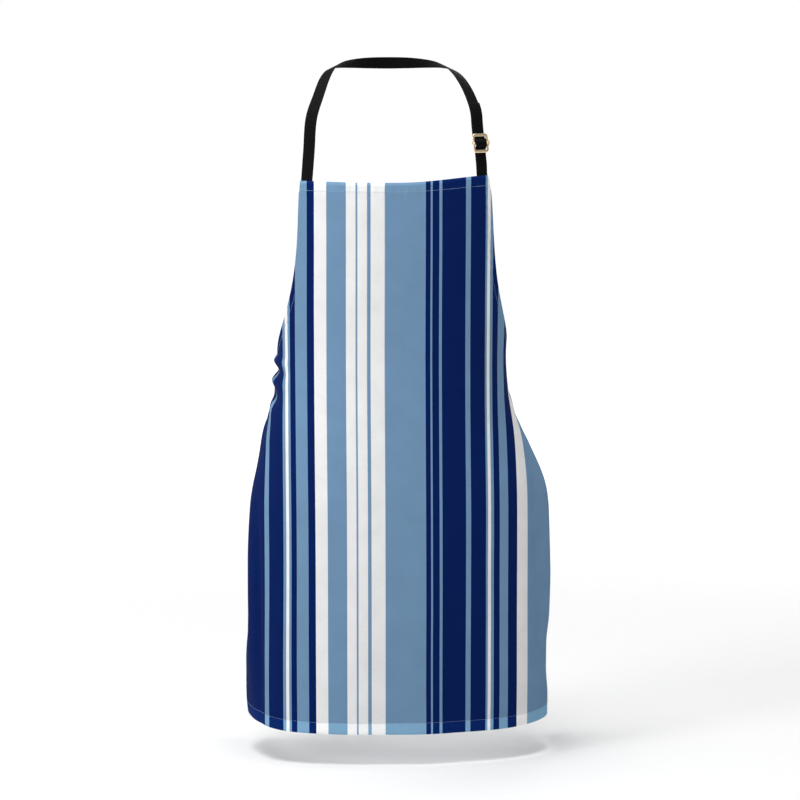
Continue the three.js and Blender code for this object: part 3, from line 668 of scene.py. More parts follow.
def add_piece(
    name: str,
    vertices: Array,
    faces: list[Face],
    materials: list[Material],
    uv: Array | None = None,
    reverse_from: int | None = None,
) -> Piece:
    """A new mesh object at the origin, smooth shaded.

    Args:
        name: the piece's name.
        vertices: one a row, in millimetres.
        faces: each face's vertices, in turn.
        materials: the material slots.
        uv: each vertex's place on the surface, in millimetres.
        reverse_from: the first face that takes the second material.

    Returns:
        The object.
    """
    mesh = bpy.data.meshes.new(name)
    mesh.from_pydata((np.asarray(vertices) * MM).tolist(), [], faces)
    for material in materials:
        mesh.materials.append(material)
    if uv is not None:
        layer = mesh.uv_layers.new(name="UVMap")
        corner = np.empty(len(mesh.loops), np.int32)
        mesh.loops.foreach_get("vertex_index", corner)
        layer.data.foreach_set("uv", (np.asarray(uv)[corner] * MM).astype(np.float32).ravel())
    if reverse_from is not None:
        for polygon in mesh.polygons[reverse_from:]:
            polygon.material_index = 1
    mesh.polygons.foreach_set("use_smooth", [True] * len(mesh.polygons))
    mesh.update()
    piece = bpy.data.objects.new(name, mesh)
    bpy.context.scene.collection.objects.link(piece)
    log.info("%s: %d faces", name, len(faces))
    return piece


def just_added(name: str) -> Piece:
    """Names the primitive that was just added."""
    piece = bpy.context.active_object
    piece.name = piece.data.name = name
    return piece


def new_block(name: str, size: Triple) -> Piece:
    """A block round the origin.

    Args:
        name: the piece's name.
        size: its width, depth and height.

    Returns:
        The block, active and selected.
    """
    bpy.ops.object.select_all(action="DESELECT")
    bpy.ops.mesh.primitive_cube_add(size=1)
    piece = just_added(name)
    piece.scale = size
    bpy.ops.object.transform_apply(location=False, rotation=False, scale=True)
    return piece


def new_rod(name: str, radius: float, length: float, sides: int, middle: float = 0.0) -> Piece:
    """A rod along X.

    Args:
        name: the piece's name.
        radius: the rod's radius.
        length: the rod's length.
        sides: how many flats it has.
        middle: where its middle is along X.

    Returns:
        The rod, active and selected.
    """
    bpy.ops.object.select_all(action="DESELECT")
    bpy.ops.mesh.primitive_cylinder_add(
        vertices=sides, radius=radius, depth=length, location=(middle, 0, 0), rotation=(0, math.pi / 2, 0)
    )
    piece = just_added(name)
    bpy.ops.object.transform_apply(location=True, rotation=True, scale=False)
    return piece


def edge_span(edge: bmesh.types.BMEdge, axis: int) -> float:
    """How far an edge reaches along an axis."""
    start, end = (vertex.co for vertex in edge.verts)
    return abs(start[axis] - end[axis])


def open_selected(piece: Piece, kind: str, wanted: Callable[[object], bool]) -> None:
    """Opens the active piece in edit mode with only some edges or faces selected.

    Args:
        piece: the active piece.
        kind: EDGE or FACE.
        wanted: tells whether an edge or a face is to be selected.
    """
    bpy.ops.object.mode_set(mode="EDIT")
    bpy.ops.mesh.select_mode(type=kind)
    bpy.ops.mesh.select_all(action="DESELECT")
    shape = bmesh.from_edit_mesh(piece.data)
    for part in shape.edges if kind == "EDGE" else shape.faces:
        part.select_set(wanted(part))
    bmesh.update_edit_mesh(piece.data)


def face_outwards(piece: Piece) -> None:
    """Turns a closed mesh's faces outwards if its volume comes out negative.

    Args:
        piece: the closed mesh.
    """
    shape = bmesh.new()
    shape.from_mesh(piece.data)
    if shape.calc_volume(signed=True) < 0:
        bmesh.ops.reverse_faces(shape, faces=shape.faces)
        shape.to_mesh(piece.data)
    shape.free()


def between_rings(rings: int, around: int) -> list[Face]:
    """Quads between neighbouring rings of equal size.

    Args:
        rings: how many rings there are.
        around: how many places each has.

    Returns:
        The faces.
    """
    faces = []
    for i in range(rings - 1):
        for k in range(around):
            a, b = i * around + k, i * around + (k + 1) % around
            faces.append((a, b, b + around, a + around))
    return faces


def rings_to_faces(rings: int, around: int) -> list[Face]:
    """Quads between neighbouring rings of equal size, and a cap of quads on each end.

    Args:
        rings: how many rings there are.
        around: how many places each has.

    Returns:
        The faces.
    """
    faces = between_rings(rings, around)
    last = (rings - 1) * around
    half = around // 2
    for base, flip in ((0, True), (last, False)):
        for k in range(half - 1):
            quad = (base + k, base + k + 1, base + around - 2 - k, base + around - 1 - k)
            faces.append(quad[::-1] if flip else quad)
    return faces


@dataclass
class Ribbon:
    """A length of flat webbing along a line, with round selvedges.

    Attributes:
        line: the centreline's places, one a row.
        outs: the direction that the webbing's face looks in, at each place.
        width: the webbing's width, or one at each place.
        thickness: the webbing's thickness.
        cup: how far the middle stands proud of the selvedges, or one at each place.
    """

    line: Array
    outs: Array
    width: float | Array = 17.0
    thickness: float = 0.9
    cup: float | Array = 0.0
    across_steps: int = 8
    selvedge_steps: int = 3

    def section(self) -> Array:
        """The closed section: how far to the side, and how far out as a share of half the thickness.

        The real part of each place is a share of half the flat and the imaginary part of half the thickness.

        Returns:
            The section's places, in turn.
        """
        flat = np.linspace(-1, 1, self.across_steps + 1)
        front = [(x, 1.0) for x in flat]
        turn = np.linspace(math.pi / 2, -math.pi / 2, self.selvedge_steps + 2)[1:-1]
        left = [(1 + 1j * math.cos(a), math.sin(a)) for a in turn]
        back = [(x, -1.0) for x in flat[::-1]]
        right = [(-1 - 1j * math.cos(a), math.sin(a)) for a in turn[::-1]]
        return np.array(front + left + back + right, complex)

    def build(self, name: str, finish: Material) -> Piece:
        """The webbing as a closed mesh with its own UV map: across it, then along it.

        Args:
            name: the piece's name.
            finish: the webbing.

        Returns:
            The object.
        """
        line, outs = np.asarray(self.line), unit(np.asarray(self.outs))
        count = len(line)
        along = unit(np.gradient(line, axis=0))
        outs = unit(outs - (outs * along).sum(1, keepdims=True) * along)
        across = np.cross(along, outs)
        half_thick = self.thickness / 2
        half_flat = np.broadcast_to(self.width, count) / 2 - half_thick
        cup = np.broadcast_to(self.cup, count)
        section = self.section()
        sideways = section[:, 0].real[None, :] * half_flat[:, None] + section[:, 0].imag[None, :] * half_thick
        depth = section[:, 1].real[None, :] * half_thick
        bowed = cup[:, None] * (1 - (sideways / (half_flat[:, None] + half_thick)) ** 2)
        vertices = line[:, None, :] + sideways[..., None] * across[:, None, :]
        vertices = vertices + (depth + bowed)[..., None] * outs[:, None, :]
        lengths = arc_lengths(line)
        uv = np.stack([sideways, np.broadcast_to(lengths[:, None], sideways.shape)], axis=-1)
        around = section.shape[0]
        caps = [tuple(range(around))[::-1], tuple(range((count - 1) * around, count * around))]
        faces = between_rings(count, around) + caps
        piece = add_piece(name, vertices.reshape(-1, 3), faces, [finish], uv.reshape(-1, 2))
        face_outwards(piece)
        return piece

    def beside(self, index: int, across_by: float, lift: float) -> Array:
        """A place on the webbing near one of its own, in the webbing's directions.

        Args:
            index: which place.
            across_by: how far across.
            lift: how far out.

        Returns:
            The place.
        """
        along = unit(self.line[min(index + 1, len(self.line) - 1)] - self.line[max(index - 1, 0)])
        out = unit(self.outs[index] - self.outs[index].dot(along) * along)
        return self.line[index] + np.cross(along, out) * across_by + out * lift


@dataclass(frozen=True)
class Stitching:
    """Rows of single stitches, each a short thread that dips into the cloth at both ends.

    Each of a stitch's rings has its share of the length, its share of the radius and its lift in dips.
    """

    pitch: float = 3.2
    length: float = 2.4
    radius: float = 0.26
    sides: int = 6
    dip: float = 0.3
    rings: tuple[Triple, ...] = ((0.12, 0.75, -0.25), (0.5, 1.0, 0.0), (0.88, 0.75, -0.25))

    def row(self, line: Array, outs: Array) -> tuple[Array, Array, Array]:
        """Where each stitch of a row starts and ends, and the way that it faces.

        Args:
            line: the row's line.
            outs: the way that the cloth faces along it.

        Returns:
            The starts, the ends and the facings.
        """
        lengths = arc_lengths(line)
        starts = np.arange(0.4 * self.pitch, lengths[-1] - self.length, self.pitch)
        ends, middles = starts + self.length, starts + self.length / 2
        facing = unit(read_off(outs, lengths, middles))
        return read_off(line, lengths, starts), read_off(line, lengths, ends), facing

    def build(self, name: str, rows: Rows, finish: Material) -> Piece:
        """Every row's stitches as one piece.

        Args:
            name: the piece's name.
            rows: each row's line and the way that the cloth faces along it.
            finish: the thread.

        Returns:
            The object.
        """
        parts = [self.row(line, outs) for line, outs in rows]
        start, end, out = (np.vstack([part[k] for part in parts]) for k in range(3))
        along = unit(end - start)
        out = unit(out - (out * along).sum(1, keepdims=True) * along)
        across = np.cross(along, out)
        angles = 2 * math.pi * np.arange(self.sides) / self.sides
        rings = []
        for share, swell, lift in self.rings:
            centre = start + share * (end - start) + lift * self.dip * out
            ring = centre[:, None, :] + self.radius * swell * (
                np.cos(angles)[None, :, None] * across[:, None, :]
                + np.sin(angles)[None, :, None] * out[:, None, :]
            )
            rings.append(ring)
        poles = [(p - self.dip * out)[:, None, :] for p in (start, end)]
        vertices = np.concatenate([poles[0], *rings, poles[1]], axis=1)
        per_stitch = vertices.shape[1]
        faces = []
        for i in range(len(start)):
            faces.extend(tuple(i * per_stitch + k for k in face) for face in self.stitch_faces())
        piece = add_piece(name, vertices.reshape(-1, 3), faces, [finish])
        face_outwards(piece)
        return piece

    def stitch_faces(self) -> list[Face]:
        """One stitch's faces: a fan at each pole and quads between the rings.

        Returns:
            The faces.
        """
        n = self.sides
        last = 3 * n + 1
        faces = []
        for k in range(n):
            following = (k + 1) % n
            faces.append((0, 1 + following, 1 + k))
            faces.append((last, 1 + 2 * n + k, 1 + 2 * n + following))
            for ring in range(2):
                base = 1 + ring * n
                faces.append((base + k, base + following, base + n + following, base + n + k))
        return faces


# ---- the cloth ----


@dataclass(frozen=True)
class Wearer:
    """The body that the cloth hangs on: rounded sections at depths below the bib's top.

    Each station is a depth, a half width, a half depth and how far forward its front stands.
    """

    power: float = 2.5
    steps: int = 240
    stations: tuple[tuple[float, float, float, float], ...] = (
        (0, 190, 113, -180), (80, 184, 118, -180), (160, 172, 110, -178),
        (250, 162, 102, -176), (300, 166, 104, -178), (380, 190, 112, -184),
        (470, 208, 120, -190), (620, 213, 124, -192), (775, 211, 124, -192),
    )

    def station(self, depth: float) -> Array:
        """The half width, half depth and front at a depth, by a monotone cubic.

        Args:
            depth: below the bib's top.

        Returns:
            The three sizes.
        """
        rows = np.array(self.stations, float)
        depths = rows[:, 0]
        i = int(np.clip(np.searchsorted(depths, depth, side="left") - 1, 0, len(rows) - 2))
        span = depths[i + 1] - depths[i]
        t = np.clip((depth - depths[i]) / span, 0, 1)
        slopes = [self.slope(rows, i), self.slope(rows, i + 1)]
        return (
            (2 * t**3 - 3 * t**2 + 1) * rows[i, 1:]
            + (t**3 - 2 * t**2 + t) * span * slopes[0]
            + (3 * t**2 - 2 * t**3) * rows[i + 1, 1:]
            + (t**3 - t**2) * span * slopes[1]
        )

    def slope(self, rows: Array, i: int) -> Array:
        """How fast the sizes change at a station, with no overshoot past it.

        Args:
            rows: the stations.
            i: which of them.

        Returns:
            The three slopes.
        """
        if i in (0, len(rows) - 1):
            return np.zeros(3)
        before = (rows[i, 1:] - rows[i - 1, 1:]) / (rows[i, 0] - rows[i - 1, 0])
        after = (rows[i + 1, 1:] - rows[i, 1:]) / (rows[i + 1, 0] - rows[i, 0])
        same = before * after > 0
        return np.where(same, 2 * before * after / np.where(same, before + after, 1), 0)

    def outline(self, depth: float) -> tuple[Array, Array]:
        """The section's left half at a depth, front to back, and the length along it.

        Args:
            depth: below the bib's top.

        Returns:
            The places, and the length at each.
        """
        half_width, half_depth, front = self.station(depth)
        angle = math.pi * np.arange(self.steps + 1) / self.steps
        s, c = np.sin(angle), np.cos(angle)
        x = half_width * np.abs(s) ** (2 / self.power)
        y = front + half_depth - half_depth * np.sign(c) * np.abs(c) ** (2 / self.power)
        points = np.stack([x, y], axis=1)
        return points, arc_lengths(points)

    def around(self, depth: float, arcs: Array) -> Array:
        """The places at arc lengths round the section, left of the front or right of it.

        Args:
            depth: below the bib's top.
            arcs: lengths from the front's middle, left of it if positive.

        Returns:
            The places.
        """
        points, lengths = self.outline(depth)
        target = np.minimum(np.abs(arcs), lengths[-1])
        x = np.interp(target, lengths, points[:, 0]) * np.sign(arcs)
        return np.stack([x, np.interp(target, lengths, points[:, 1])], axis=-1)


@dataclass(frozen=True)
class Cut:
    """The flat pattern: a bib with curved armholes above a straight skirt."""

    length: float = 775
    half_width: float = 330
    bib_half_width: float = 140
    armhole_depth: float = 262
    armhole_power: float = 3
    top_hem: float = 15
    edge_hem: float = 10
    bottom_hem: float = 18
    seam_inset: float = 2.5

    def armhole(self, angle: Array) -> Array:
        """The armhole's edge by the angle that draws it, from the bib down to the corner.

        Args:
            angle: from 0 at the bib to a quarter turn.

        Returns:
            How far across and down each place is.
        """
        power = 2 / self.armhole_power
        span = self.half_width - self.bib_half_width
        across = self.half_width - span * np.maximum(np.cos(angle), 0) ** power
        return np.stack([across, self.armhole_depth * np.sin(angle) ** power], axis=-1)

    def armhole_line(self, first_depth: float, spacing: float) -> Array:
        """The armhole's edge from a depth down to the corner, evenly spaced.

        Args:
            first_depth: where the line starts.
            spacing: between its places.

        Returns:
            The places, one a row.
        """
        first = math.asin((first_depth / self.armhole_depth) ** (self.armhole_power / 2))
        fine = self.armhole(np.linspace(first, math.pi / 2, 1200))
        return resampled(fine, spacing)

    def area(self) -> float:
        """The cut's flat area, in square metres.

        Returns:
            The area.
        """
        edge = self.armhole(np.linspace(0, math.pi / 2, 1200))
        bib = 2 * np.sum((edge[1:, 0] + edge[:-1, 0]) / 2 * np.diff(edge[:, 1]))
        skirt = 2 * self.half_width * (self.length - self.armhole_depth)
        return float((bib + skirt) * MM * MM)


@dataclass(frozen=True)
class Fold:
    """A soft ridge across the flat cloth, or a hollow where its height is negative."""

    start: tuple[float, float]
    end: tuple[float, float]
    width: float
    height: float

    def over(self, u: Array, v: Array) -> Array:
        """How far the fold lifts the cloth at each place.

        Args:
            u: across the flat cloth.
            v: down it.

        Returns:
            The lift at each place.
        """
        a, b = np.array(self.start), np.array(self.end)
        run = b - a
        length = np.linalg.norm(run)
        along = ((u - a[0]) * run[0] + (v - a[1]) * run[1]) / length**2
        aside = ((u - a[0]) * run[1] - (v - a[1]) * run[0]) / length
        ends = smoothstep(-0.15, 0.35, along) * (1 - smoothstep(0.65, 1.15, along))
        return self.height * ends * np.exp(-((aside / self.width) ** 2))


@dataclass
class Drape:
    """Where a place on the flat cloth comes to lie on the wearer."""

    wearer: Wearer = field(default_factory=Wearer)
    cut: Cut = field(default_factory=Cut)
    bib_top: float = -160
    lean_share: float = 0.6  # how much of the body's slant the cloth takes up
    steepest_lean: float = 0.8
    bib_sag: float = 2.2
    strap_inset: float = 14
    left_pull: float = 8.0  # the left strap draws its corner up and in
    right_pull: float = 3.5  # and the right strap its own, inwards
    left_lift: float = 6.5
    pull_reach: float = 34
    left_sway: float = 12.0  # the skirt stands out from the hips
    right_sway: float = 8.0
    step: float = 2.5
    arc_step: float = 1.5
    spare: float = 12  # the table reaches past the cloth's edges
    pucker: float = 0.32
    pucker_pitch: float = 13
    fold_depth: float = 1.45
    print_depth: float = 600  # the stripes keep their own widths here, and hang straight above and below
    straight_above: float = 0.9  # as far round as this share of the way to the side at the bib
    straight_drop: float = 0.16  # and this much less at the hips
    straight_power: float = 10  # how suddenly they then follow the cloth
    folds: tuple[Fold, ...] = (
        Fold((-300, 262), (-170, 258), 6, 3.2), Fold((-300, 276), (-172, 274), 6, -2.6),
        Fold((-300, 289), (-176, 290), 6, 2.4), Fold((-300, 308), (-184, 312), 9, -3.0),
        Fold((-226, 470), (-219, 775), 9, -3.0), Fold((-252, 420), (-247, 775), 17, 3.2),
        Fold((-300, 300), (-292, 700), 16, -3.0), Fold((-282, 640), (-282, 800), 24, 4.0),
        Fold((-316, 268), (-196, 336), 9, 2.6), Fold((-318, 282), (-224, 372), 8, -2.2),
        Fold((-312, 262), (-205, 292), 8, 2.0), Fold((206, 380), (212, 700), 15, -2.8),
        Fold((240, 400), (236, 640), 16, 3.6), Fold((262, 640), (262, 735), 26, -3.2),
        Fold((292, 320), (284, 760), 15, -2.6), Fold((316, 268), (206, 330), 9, 2.0),
        Fold((318, 284), (236, 366), 9, -1.8), Fold((120, 560), (128, 775), 26, 1.3),
        Fold((-60, 600), (-66, 775), 30, 1.2), Fold((36, 620), (30, 775), 26, -1.2),
    )

    def __post_init__(self) -> None:
        """Works the draped places out once, as a table over the flat cloth."""
        cut = self.cut
        self.depths = np.arange(0, cut.length + self.spare, self.step)
        reach = cut.half_width + self.spare
        self.arcs = np.arange(-reach, reach + self.arc_step / 2, self.arc_step)
        plan = np.stack([self.wearer.around(d, self.arcs) for d in self.depths])
        slant = self.lean_share * np.linalg.norm(np.diff(plan, axis=0), axis=-1)
        lean = np.minimum(slant, self.steepest_lean * self.step)
        drop = np.cumsum(np.sqrt(self.step**2 - lean**2), axis=0)
        fall = np.concatenate([np.zeros((1, len(self.arcs))), drop])
        self.table = np.concatenate([plan, (self.bib_top - fall)[..., None]], axis=-1)
        half_way = self.wearer.steps // 2
        self.side_arcs = np.array([self.wearer.outline(d)[1][half_way] for d in self.depths])
        self.edge_line = cut.armhole(np.linspace(0, math.pi / 2, 500))
        self.edge_lengths = arc_lengths(self.edge_line)

    def base(self, u: Array, v: Array) -> Array:
        """The cloth's middle surface with no folds in it.

        Args:
            u: across the flat cloth.
            v: down it.

        Returns:
            The places.
        """
        u, v = np.broadcast_arrays(np.asarray(u, float), np.asarray(v, float))
        row = np.clip(v / self.step, 0, len(self.depths) - 1.001)
        column = np.clip((u - self.arcs[0]) / self.arc_step, 0, len(self.arcs) - 1.001)
        i, j = row.astype(int), column.astype(int)
        s, t = (row - i)[..., None], (column - j)[..., None]
        upper = self.table[i, j] * (1 - t) + self.table[i, j + 1] * t
        lower = self.table[i + 1, j] * (1 - t) + self.table[i + 1, j + 1] * t
        places = upper * (1 - s) + lower * s
        places[..., 0] += self.aside(u, v)
        places[..., 2] += self.raised(u, v)
        return places

    def aside(self, u: Array, v: Array) -> Array:
        """How far the cloth is drawn to the wearer's left: by the straps at the bib, and at the hips.

        Args:
            u: across the flat cloth.
            v: down it.

        Returns:
            The shift at each place.
        """
        half = self.cut.bib_half_width
        near = np.exp(-np.maximum(v, 0) / self.pull_reach)
        pulled = self.right_pull * smoothstep(0, half, -u) - self.left_pull * smoothstep(0, half, u)
        left = self.left_sway * smoothstep(60, 230, u) * smoothstep(330, 450, v)
        right = self.right_sway * smoothstep(60, 230, -u) * smoothstep(330, 430, v)
        return pulled * near + left + right

    def printed(self, u: Array, v: Array) -> Array:
        """How far across the print a place is, where the stripes hang straight down the front.

        Args:
            u: across the flat cloth.
            v: down it.

        Returns:
            How far across the print each place is.
        """
        u, v = np.broadcast_arrays(np.asarray(u, float), np.asarray(v, float))
        side = np.interp(v, self.depths, self.side_arcs)
        side = side * (self.straight_above - self.straight_drop * smoothstep(240, 540, v))
        within = u / (1 + np.abs(u / side) ** self.straight_power) ** (1 / self.straight_power)
        rim = float(np.interp(self.print_depth, self.depths, self.side_arcs))
        known = np.linspace(-rim, rim, 801)
        across = self.base(known, np.full(known.shape, self.print_depth))[..., 0]
        return np.interp(self.base(within, v)[..., 0], across, known) + u - within

    def raised(self, u: Array, v: Array) -> Array:
        """How far the bib hangs above its plain line, or below it where its top sags."""
        lifted = self.left_lift * smoothstep(0, self.cut.bib_half_width, u)
        return lifted * np.exp(-np.maximum(v, 0) / (2 * self.pull_reach)) - self.sag(u, v)

    def sag(self, u: Array, v: Array) -> Array:
        """How far the bib's top hangs between its two straps."""
        share = np.clip(np.abs(u) / (self.cut.bib_half_width - self.strap_inset), 0, 1)
        return self.bib_sag * (1 - share**2) * np.exp(-v / 45)

    def out(self, u: Array, v: Array) -> Array:
        """The way that the printed side faces.

        Args:
            u: across the flat cloth.
            v: down it.

        Returns:
            One direction for each place.
        """
        reach = 4.0
        high = np.maximum(np.asarray(v, float) - reach, 0)
        low = np.minimum(np.asarray(v, float) + reach, self.depths[-1])
        across = self.base(np.asarray(u) + reach, v) - self.base(np.asarray(u) - reach, v)
        return unit(np.cross(self.base(u, low) - self.base(u, high), across))

    def relief(self, u: Array, v: Array) -> Array:
        """How far folds, seams and puckers lift the cloth off its plain surface.

        Args:
            u: across the flat cloth.
            v: down it.

        Returns:
            The lift at each place.
        """
        u, v = np.broadcast_arrays(np.asarray(u, float), np.asarray(v, float))
        height = self.fold_depth * sum(fold.over(u, v) for fold in self.folds)
        low = smoothstep(430, 775, v)
        height = height + low * (1.9 * np.sin(u / 31 + 0.8) + 0.9 * np.sin(u / 17.3 + 2.1 + v / 210))
        height = height + 0.35 * np.sin(v / 41 + u / 67) * smoothstep(60, 200, v)
        for inset, along, seam in self.seams(u, v):
            wave = np.sin(2 * math.pi * along / self.pucker_pitch + 1.4 * np.sin(along / 31))
            reach = np.exp(-(((inset - seam) / 6) ** 2))
            height = height + self.pucker * wave * reach - 0.3 * np.exp(-(((inset - seam) / 1.8) ** 2))
        return height

    def seams(self, u: Array, v: Array) -> list[tuple[Array, Array, float]]:
        """Each hem's inset and length along it at every place, and where its seam is.

        Args:
            u: across the flat cloth.
            v: down it.

        Returns:
            One row for each kind of hem.
        """
        cut = self.cut
        edge_seam = cut.edge_hem - cut.seam_inset
        below = v > cut.armhole_depth
        side = np.where(below, cut.half_width - np.abs(u), 1e3)
        rows = [
            (v, u, cut.top_hem - cut.seam_inset),
            (cut.length - v, u, cut.bottom_hem - cut.seam_inset),
            (side, v, edge_seam),
        ]
        near = ~below & (np.abs(u) > cut.bib_half_width - 30)
        inset, along = np.full(u.shape, 1e3), np.zeros(u.shape)
        places = np.stack([np.abs(u[near]), v[near]], axis=-1)
        if len(places):
            apart = np.linalg.norm(places[:, None, :] - self.edge_line[None, :, :], axis=-1)
            inset[near] = apart.min(1)
            along[near] = self.edge_lengths[apart.argmin(1)]
        rows.append((inset, along, edge_seam))
        return rows

    def place(self, u: Array, v: Array, offset: Array | float = 0.0) -> Array:
        """Where a place on the cloth lies, offset outwards from its middle surface."""
        lift = np.asarray(offset) + self.relief(u, v)
        return self.base(u, v) + self.out(u, v) * lift[..., None]


@dataclass
class Edge:
    """One hemmed edge of the flat cloth: its line and the way into the cloth, at each place."""

    line: Array
    inward: Array
    hem: float

    def mirrored(self) -> "Edge":
        """The same edge on the wearer's other side."""
        flip = np.array([-1, 1])
        return Edge(self.line * flip, self.inward * flip, self.hem)

    def inset(self, distance: float) -> Array:
        """The line moved into the cloth."""
        return self.line + self.inward * distance


@dataclass
class ClothPanel:
    """The printed panel, its six folded hems, their stitching and the care label."""

    drape: Drape
    finishes: Finishes
    ply: float = 0.7  # thickness of the cloth
    fold_gap: float = 0.3  # between the panel and a hem
    armhole_rows: int = 92
    skirt_rows: int = 116
    columns: int = 176
    corner_middle: float = 385
    row_bow: float = 3
    hem_spacing: float = 3.4
    hem_clearance: float = 0.6  # between the ends of two hems
    hem_shares: tuple[float, ...] = (1.0, 0.86, 0.7, 0.5, 0.3, 0.12)  # places across a hem's flat
    thread_lift: float = 0.12
    label_width: float = 22
    label_height: float = 38
    label_below: float = 430
    label_inset: float = 3
    label_thickness: float = 0.25
    label_gap: float = 1.3  # behind the cloth, at its sewn end
    label_curl: float = 1.6
    label_columns: int = 12
    label_rows: int = 18

    def build(self) -> None:
        panel = self.panel()
        extras = []
        for name, edges in self.edges().items():
            hem_name, stitching_name = self.names(name)
            hem = self.hem(hem_name, edges)
            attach(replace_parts(hem, hem_name), Body.APRON.value)
            rows = self.seam_rows(edges)
            stitches = Stitching().build(stitching_name + "_thread", rows, self.finishes.thread)
            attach(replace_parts(stitches, stitching_name), Body.APRON.value)
            extras += [hem, stitches]
        extras += self.label()
        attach(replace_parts(panel, "body_panel"), Body.APRON.value)
        cut = self.drape.cut
        cut.area()

    def names(self, edge: str) -> tuple[str, str]:
        """A hem's name and its stitching's name."""
        if edge in ("bib", "bottom"):
            return f"{edge}_hem", f"{edge}_hem_stitching"
        kind, side = edge.split("_")
        return f"{kind}_hem_{side}", f"{kind}_stitching_{side}"

    def edges(self) -> dict[str, Edge]:
        """The six hemmed edges by name.

        Returns:
            The edges by name.
        """
        cut = self.drape.cut
        spacing = self.hem_spacing
        top = resampled(np.array([[-cut.bib_half_width, 0], [cut.bib_half_width, 0]], float), spacing)
        bottom_ends = [[-cut.half_width, cut.length], [cut.half_width, cut.length]]
        bottom = resampled(np.array(bottom_ends, float), spacing)
        low = cut.length - cut.bottom_hem - self.hem_clearance
        side_line = np.array([[cut.half_width, cut.armhole_depth], [cut.half_width, low]], float)
        side = Edge(resampled(side_line, spacing), np.zeros(0), cut.edge_hem)
        side.inward = np.tile([-1.0, 0.0], (len(side.line), 1))
        line = cut.armhole_line(cut.top_hem + self.hem_clearance, spacing)
        slope = unit(np.gradient(line, axis=0))
        armhole = Edge(line, np.stack([-slope[:, 1], slope[:, 0]], axis=1), cut.edge_hem)
        return {
            "bib": Edge(top, np.tile([0.0, 1.0], (len(top), 1)), cut.top_hem),
            "bottom": Edge(bottom, np.tile([0.0, -1.0], (len(bottom), 1)), cut.bottom_hem),
            "armhole_left": armhole,
            "armhole_right": armhole.mirrored(),
            "side_left": side,
            "side_right": side.mirrored(),
        }

    def flat_rows(self) -> Array:
        """The panel's grid on the flat cloth: rows bow from the middle to the edge.

        Returns:
            How far across and down each place of the grid is.
        """
        cut = self.drape.cut
        armhole = resampled(cut.armhole(np.linspace(0, math.pi / 2, 1200)), 1.0)
        lengths = arc_lengths(armhole)
        ends = read_off(armhole, lengths, np.linspace(0, lengths[-1], self.armhole_rows + 1))
        middles = np.linspace(0, self.corner_middle, self.armhole_rows + 1)
        down = np.arange(1, self.skirt_rows + 1) / self.skirt_rows
        depths = cut.armhole_depth + down * (cut.length - cut.armhole_depth)
        skirt = np.stack([np.full(self.skirt_rows, cut.half_width), depths], axis=1)
        ends = np.vstack([ends, skirt])
        middles = np.concatenate([middles, self.corner_middle + down * (cut.length - self.corner_middle)])
        share = np.linspace(-1, 1, self.columns + 1)
        u = ends[:, :1] * share[None, :]
        v = middles[:, None] + (ends[:, 1:] - middles[:, None]) * np.abs(share[None, :]) ** self.row_bow
        return np.stack([u, v], axis=-1)

    def panel(self) -> Piece:
        """The panel as a closed sheet, printed in front and pale behind.

        Returns:
            The object.
        """
        flat = self.flat_rows()
        u, v = flat[..., 0], flat[..., 1]
        lift = self.drape.relief(u, v)[..., None]
        middle, out = self.drape.base(u, v), self.drape.out(u, v)
        front = (middle + out * (lift + self.ply / 2)).reshape(-1, 3)
        back = (middle + out * (lift - self.ply / 2)).reshape(-1, 3)
        rows, columns = u.shape
        index = np.arange(rows * columns).reshape(rows, columns)
        a, b, c, d = index[:-1, :-1], index[:-1, 1:], index[1:, 1:], index[1:, :-1]
        facing = np.stack([a, d, c, b], axis=-1).reshape(-1, 4)
        count = rows * columns
        rim = np.concatenate([index[0], index[1:, -1], index[-1, -2::-1], index[-2:0:-1, 0]])
        following = np.roll(rim, -1)
        walls = np.stack([rim, following, following + count, rim + count], axis=-1)
        faces = [tuple(f) for f in np.vstack([facing, walls])] + [tuple(f[::-1] + count) for f in facing]
        print_map = np.stack([self.drape.printed(u, v), v], axis=-1)
        uv = np.tile(print_map.reshape(-1, 2), (2, 1))
        materials = [self.finishes.front, self.finishes.reverse]
        vertices = np.vstack([front, back])
        turn = len(facing) + len(walls)
        piece = add_piece("apron_panel", vertices, faces, materials, uv, reverse_from=turn)
        face_outwards(piece)
        return piece

    def hem_profile(self) -> tuple[Array, Array]:
        """The folded layer's section: inset and offset at each place, and the way that it faces.

        Returns:
            The places and the facings.
        """
        behind = -(self.ply + self.fold_gap)
        radius = -behind / 2
        turn = np.linspace(-math.pi / 2, math.pi / 2, 7)
        inner = np.array(self.hem_shares)
        insets = np.concatenate([inner, -radius * np.cos(turn)])
        offsets = np.concatenate([np.full(len(inner), behind), behind / 2 + radius * np.sin(turn)])
        turned = np.stack([-np.cos(turn), np.sin(turn)], axis=1)
        facing = np.concatenate([np.tile([0.0, -1.0], (len(inner), 1)), turned])
        return np.stack([insets, offsets], axis=1), facing

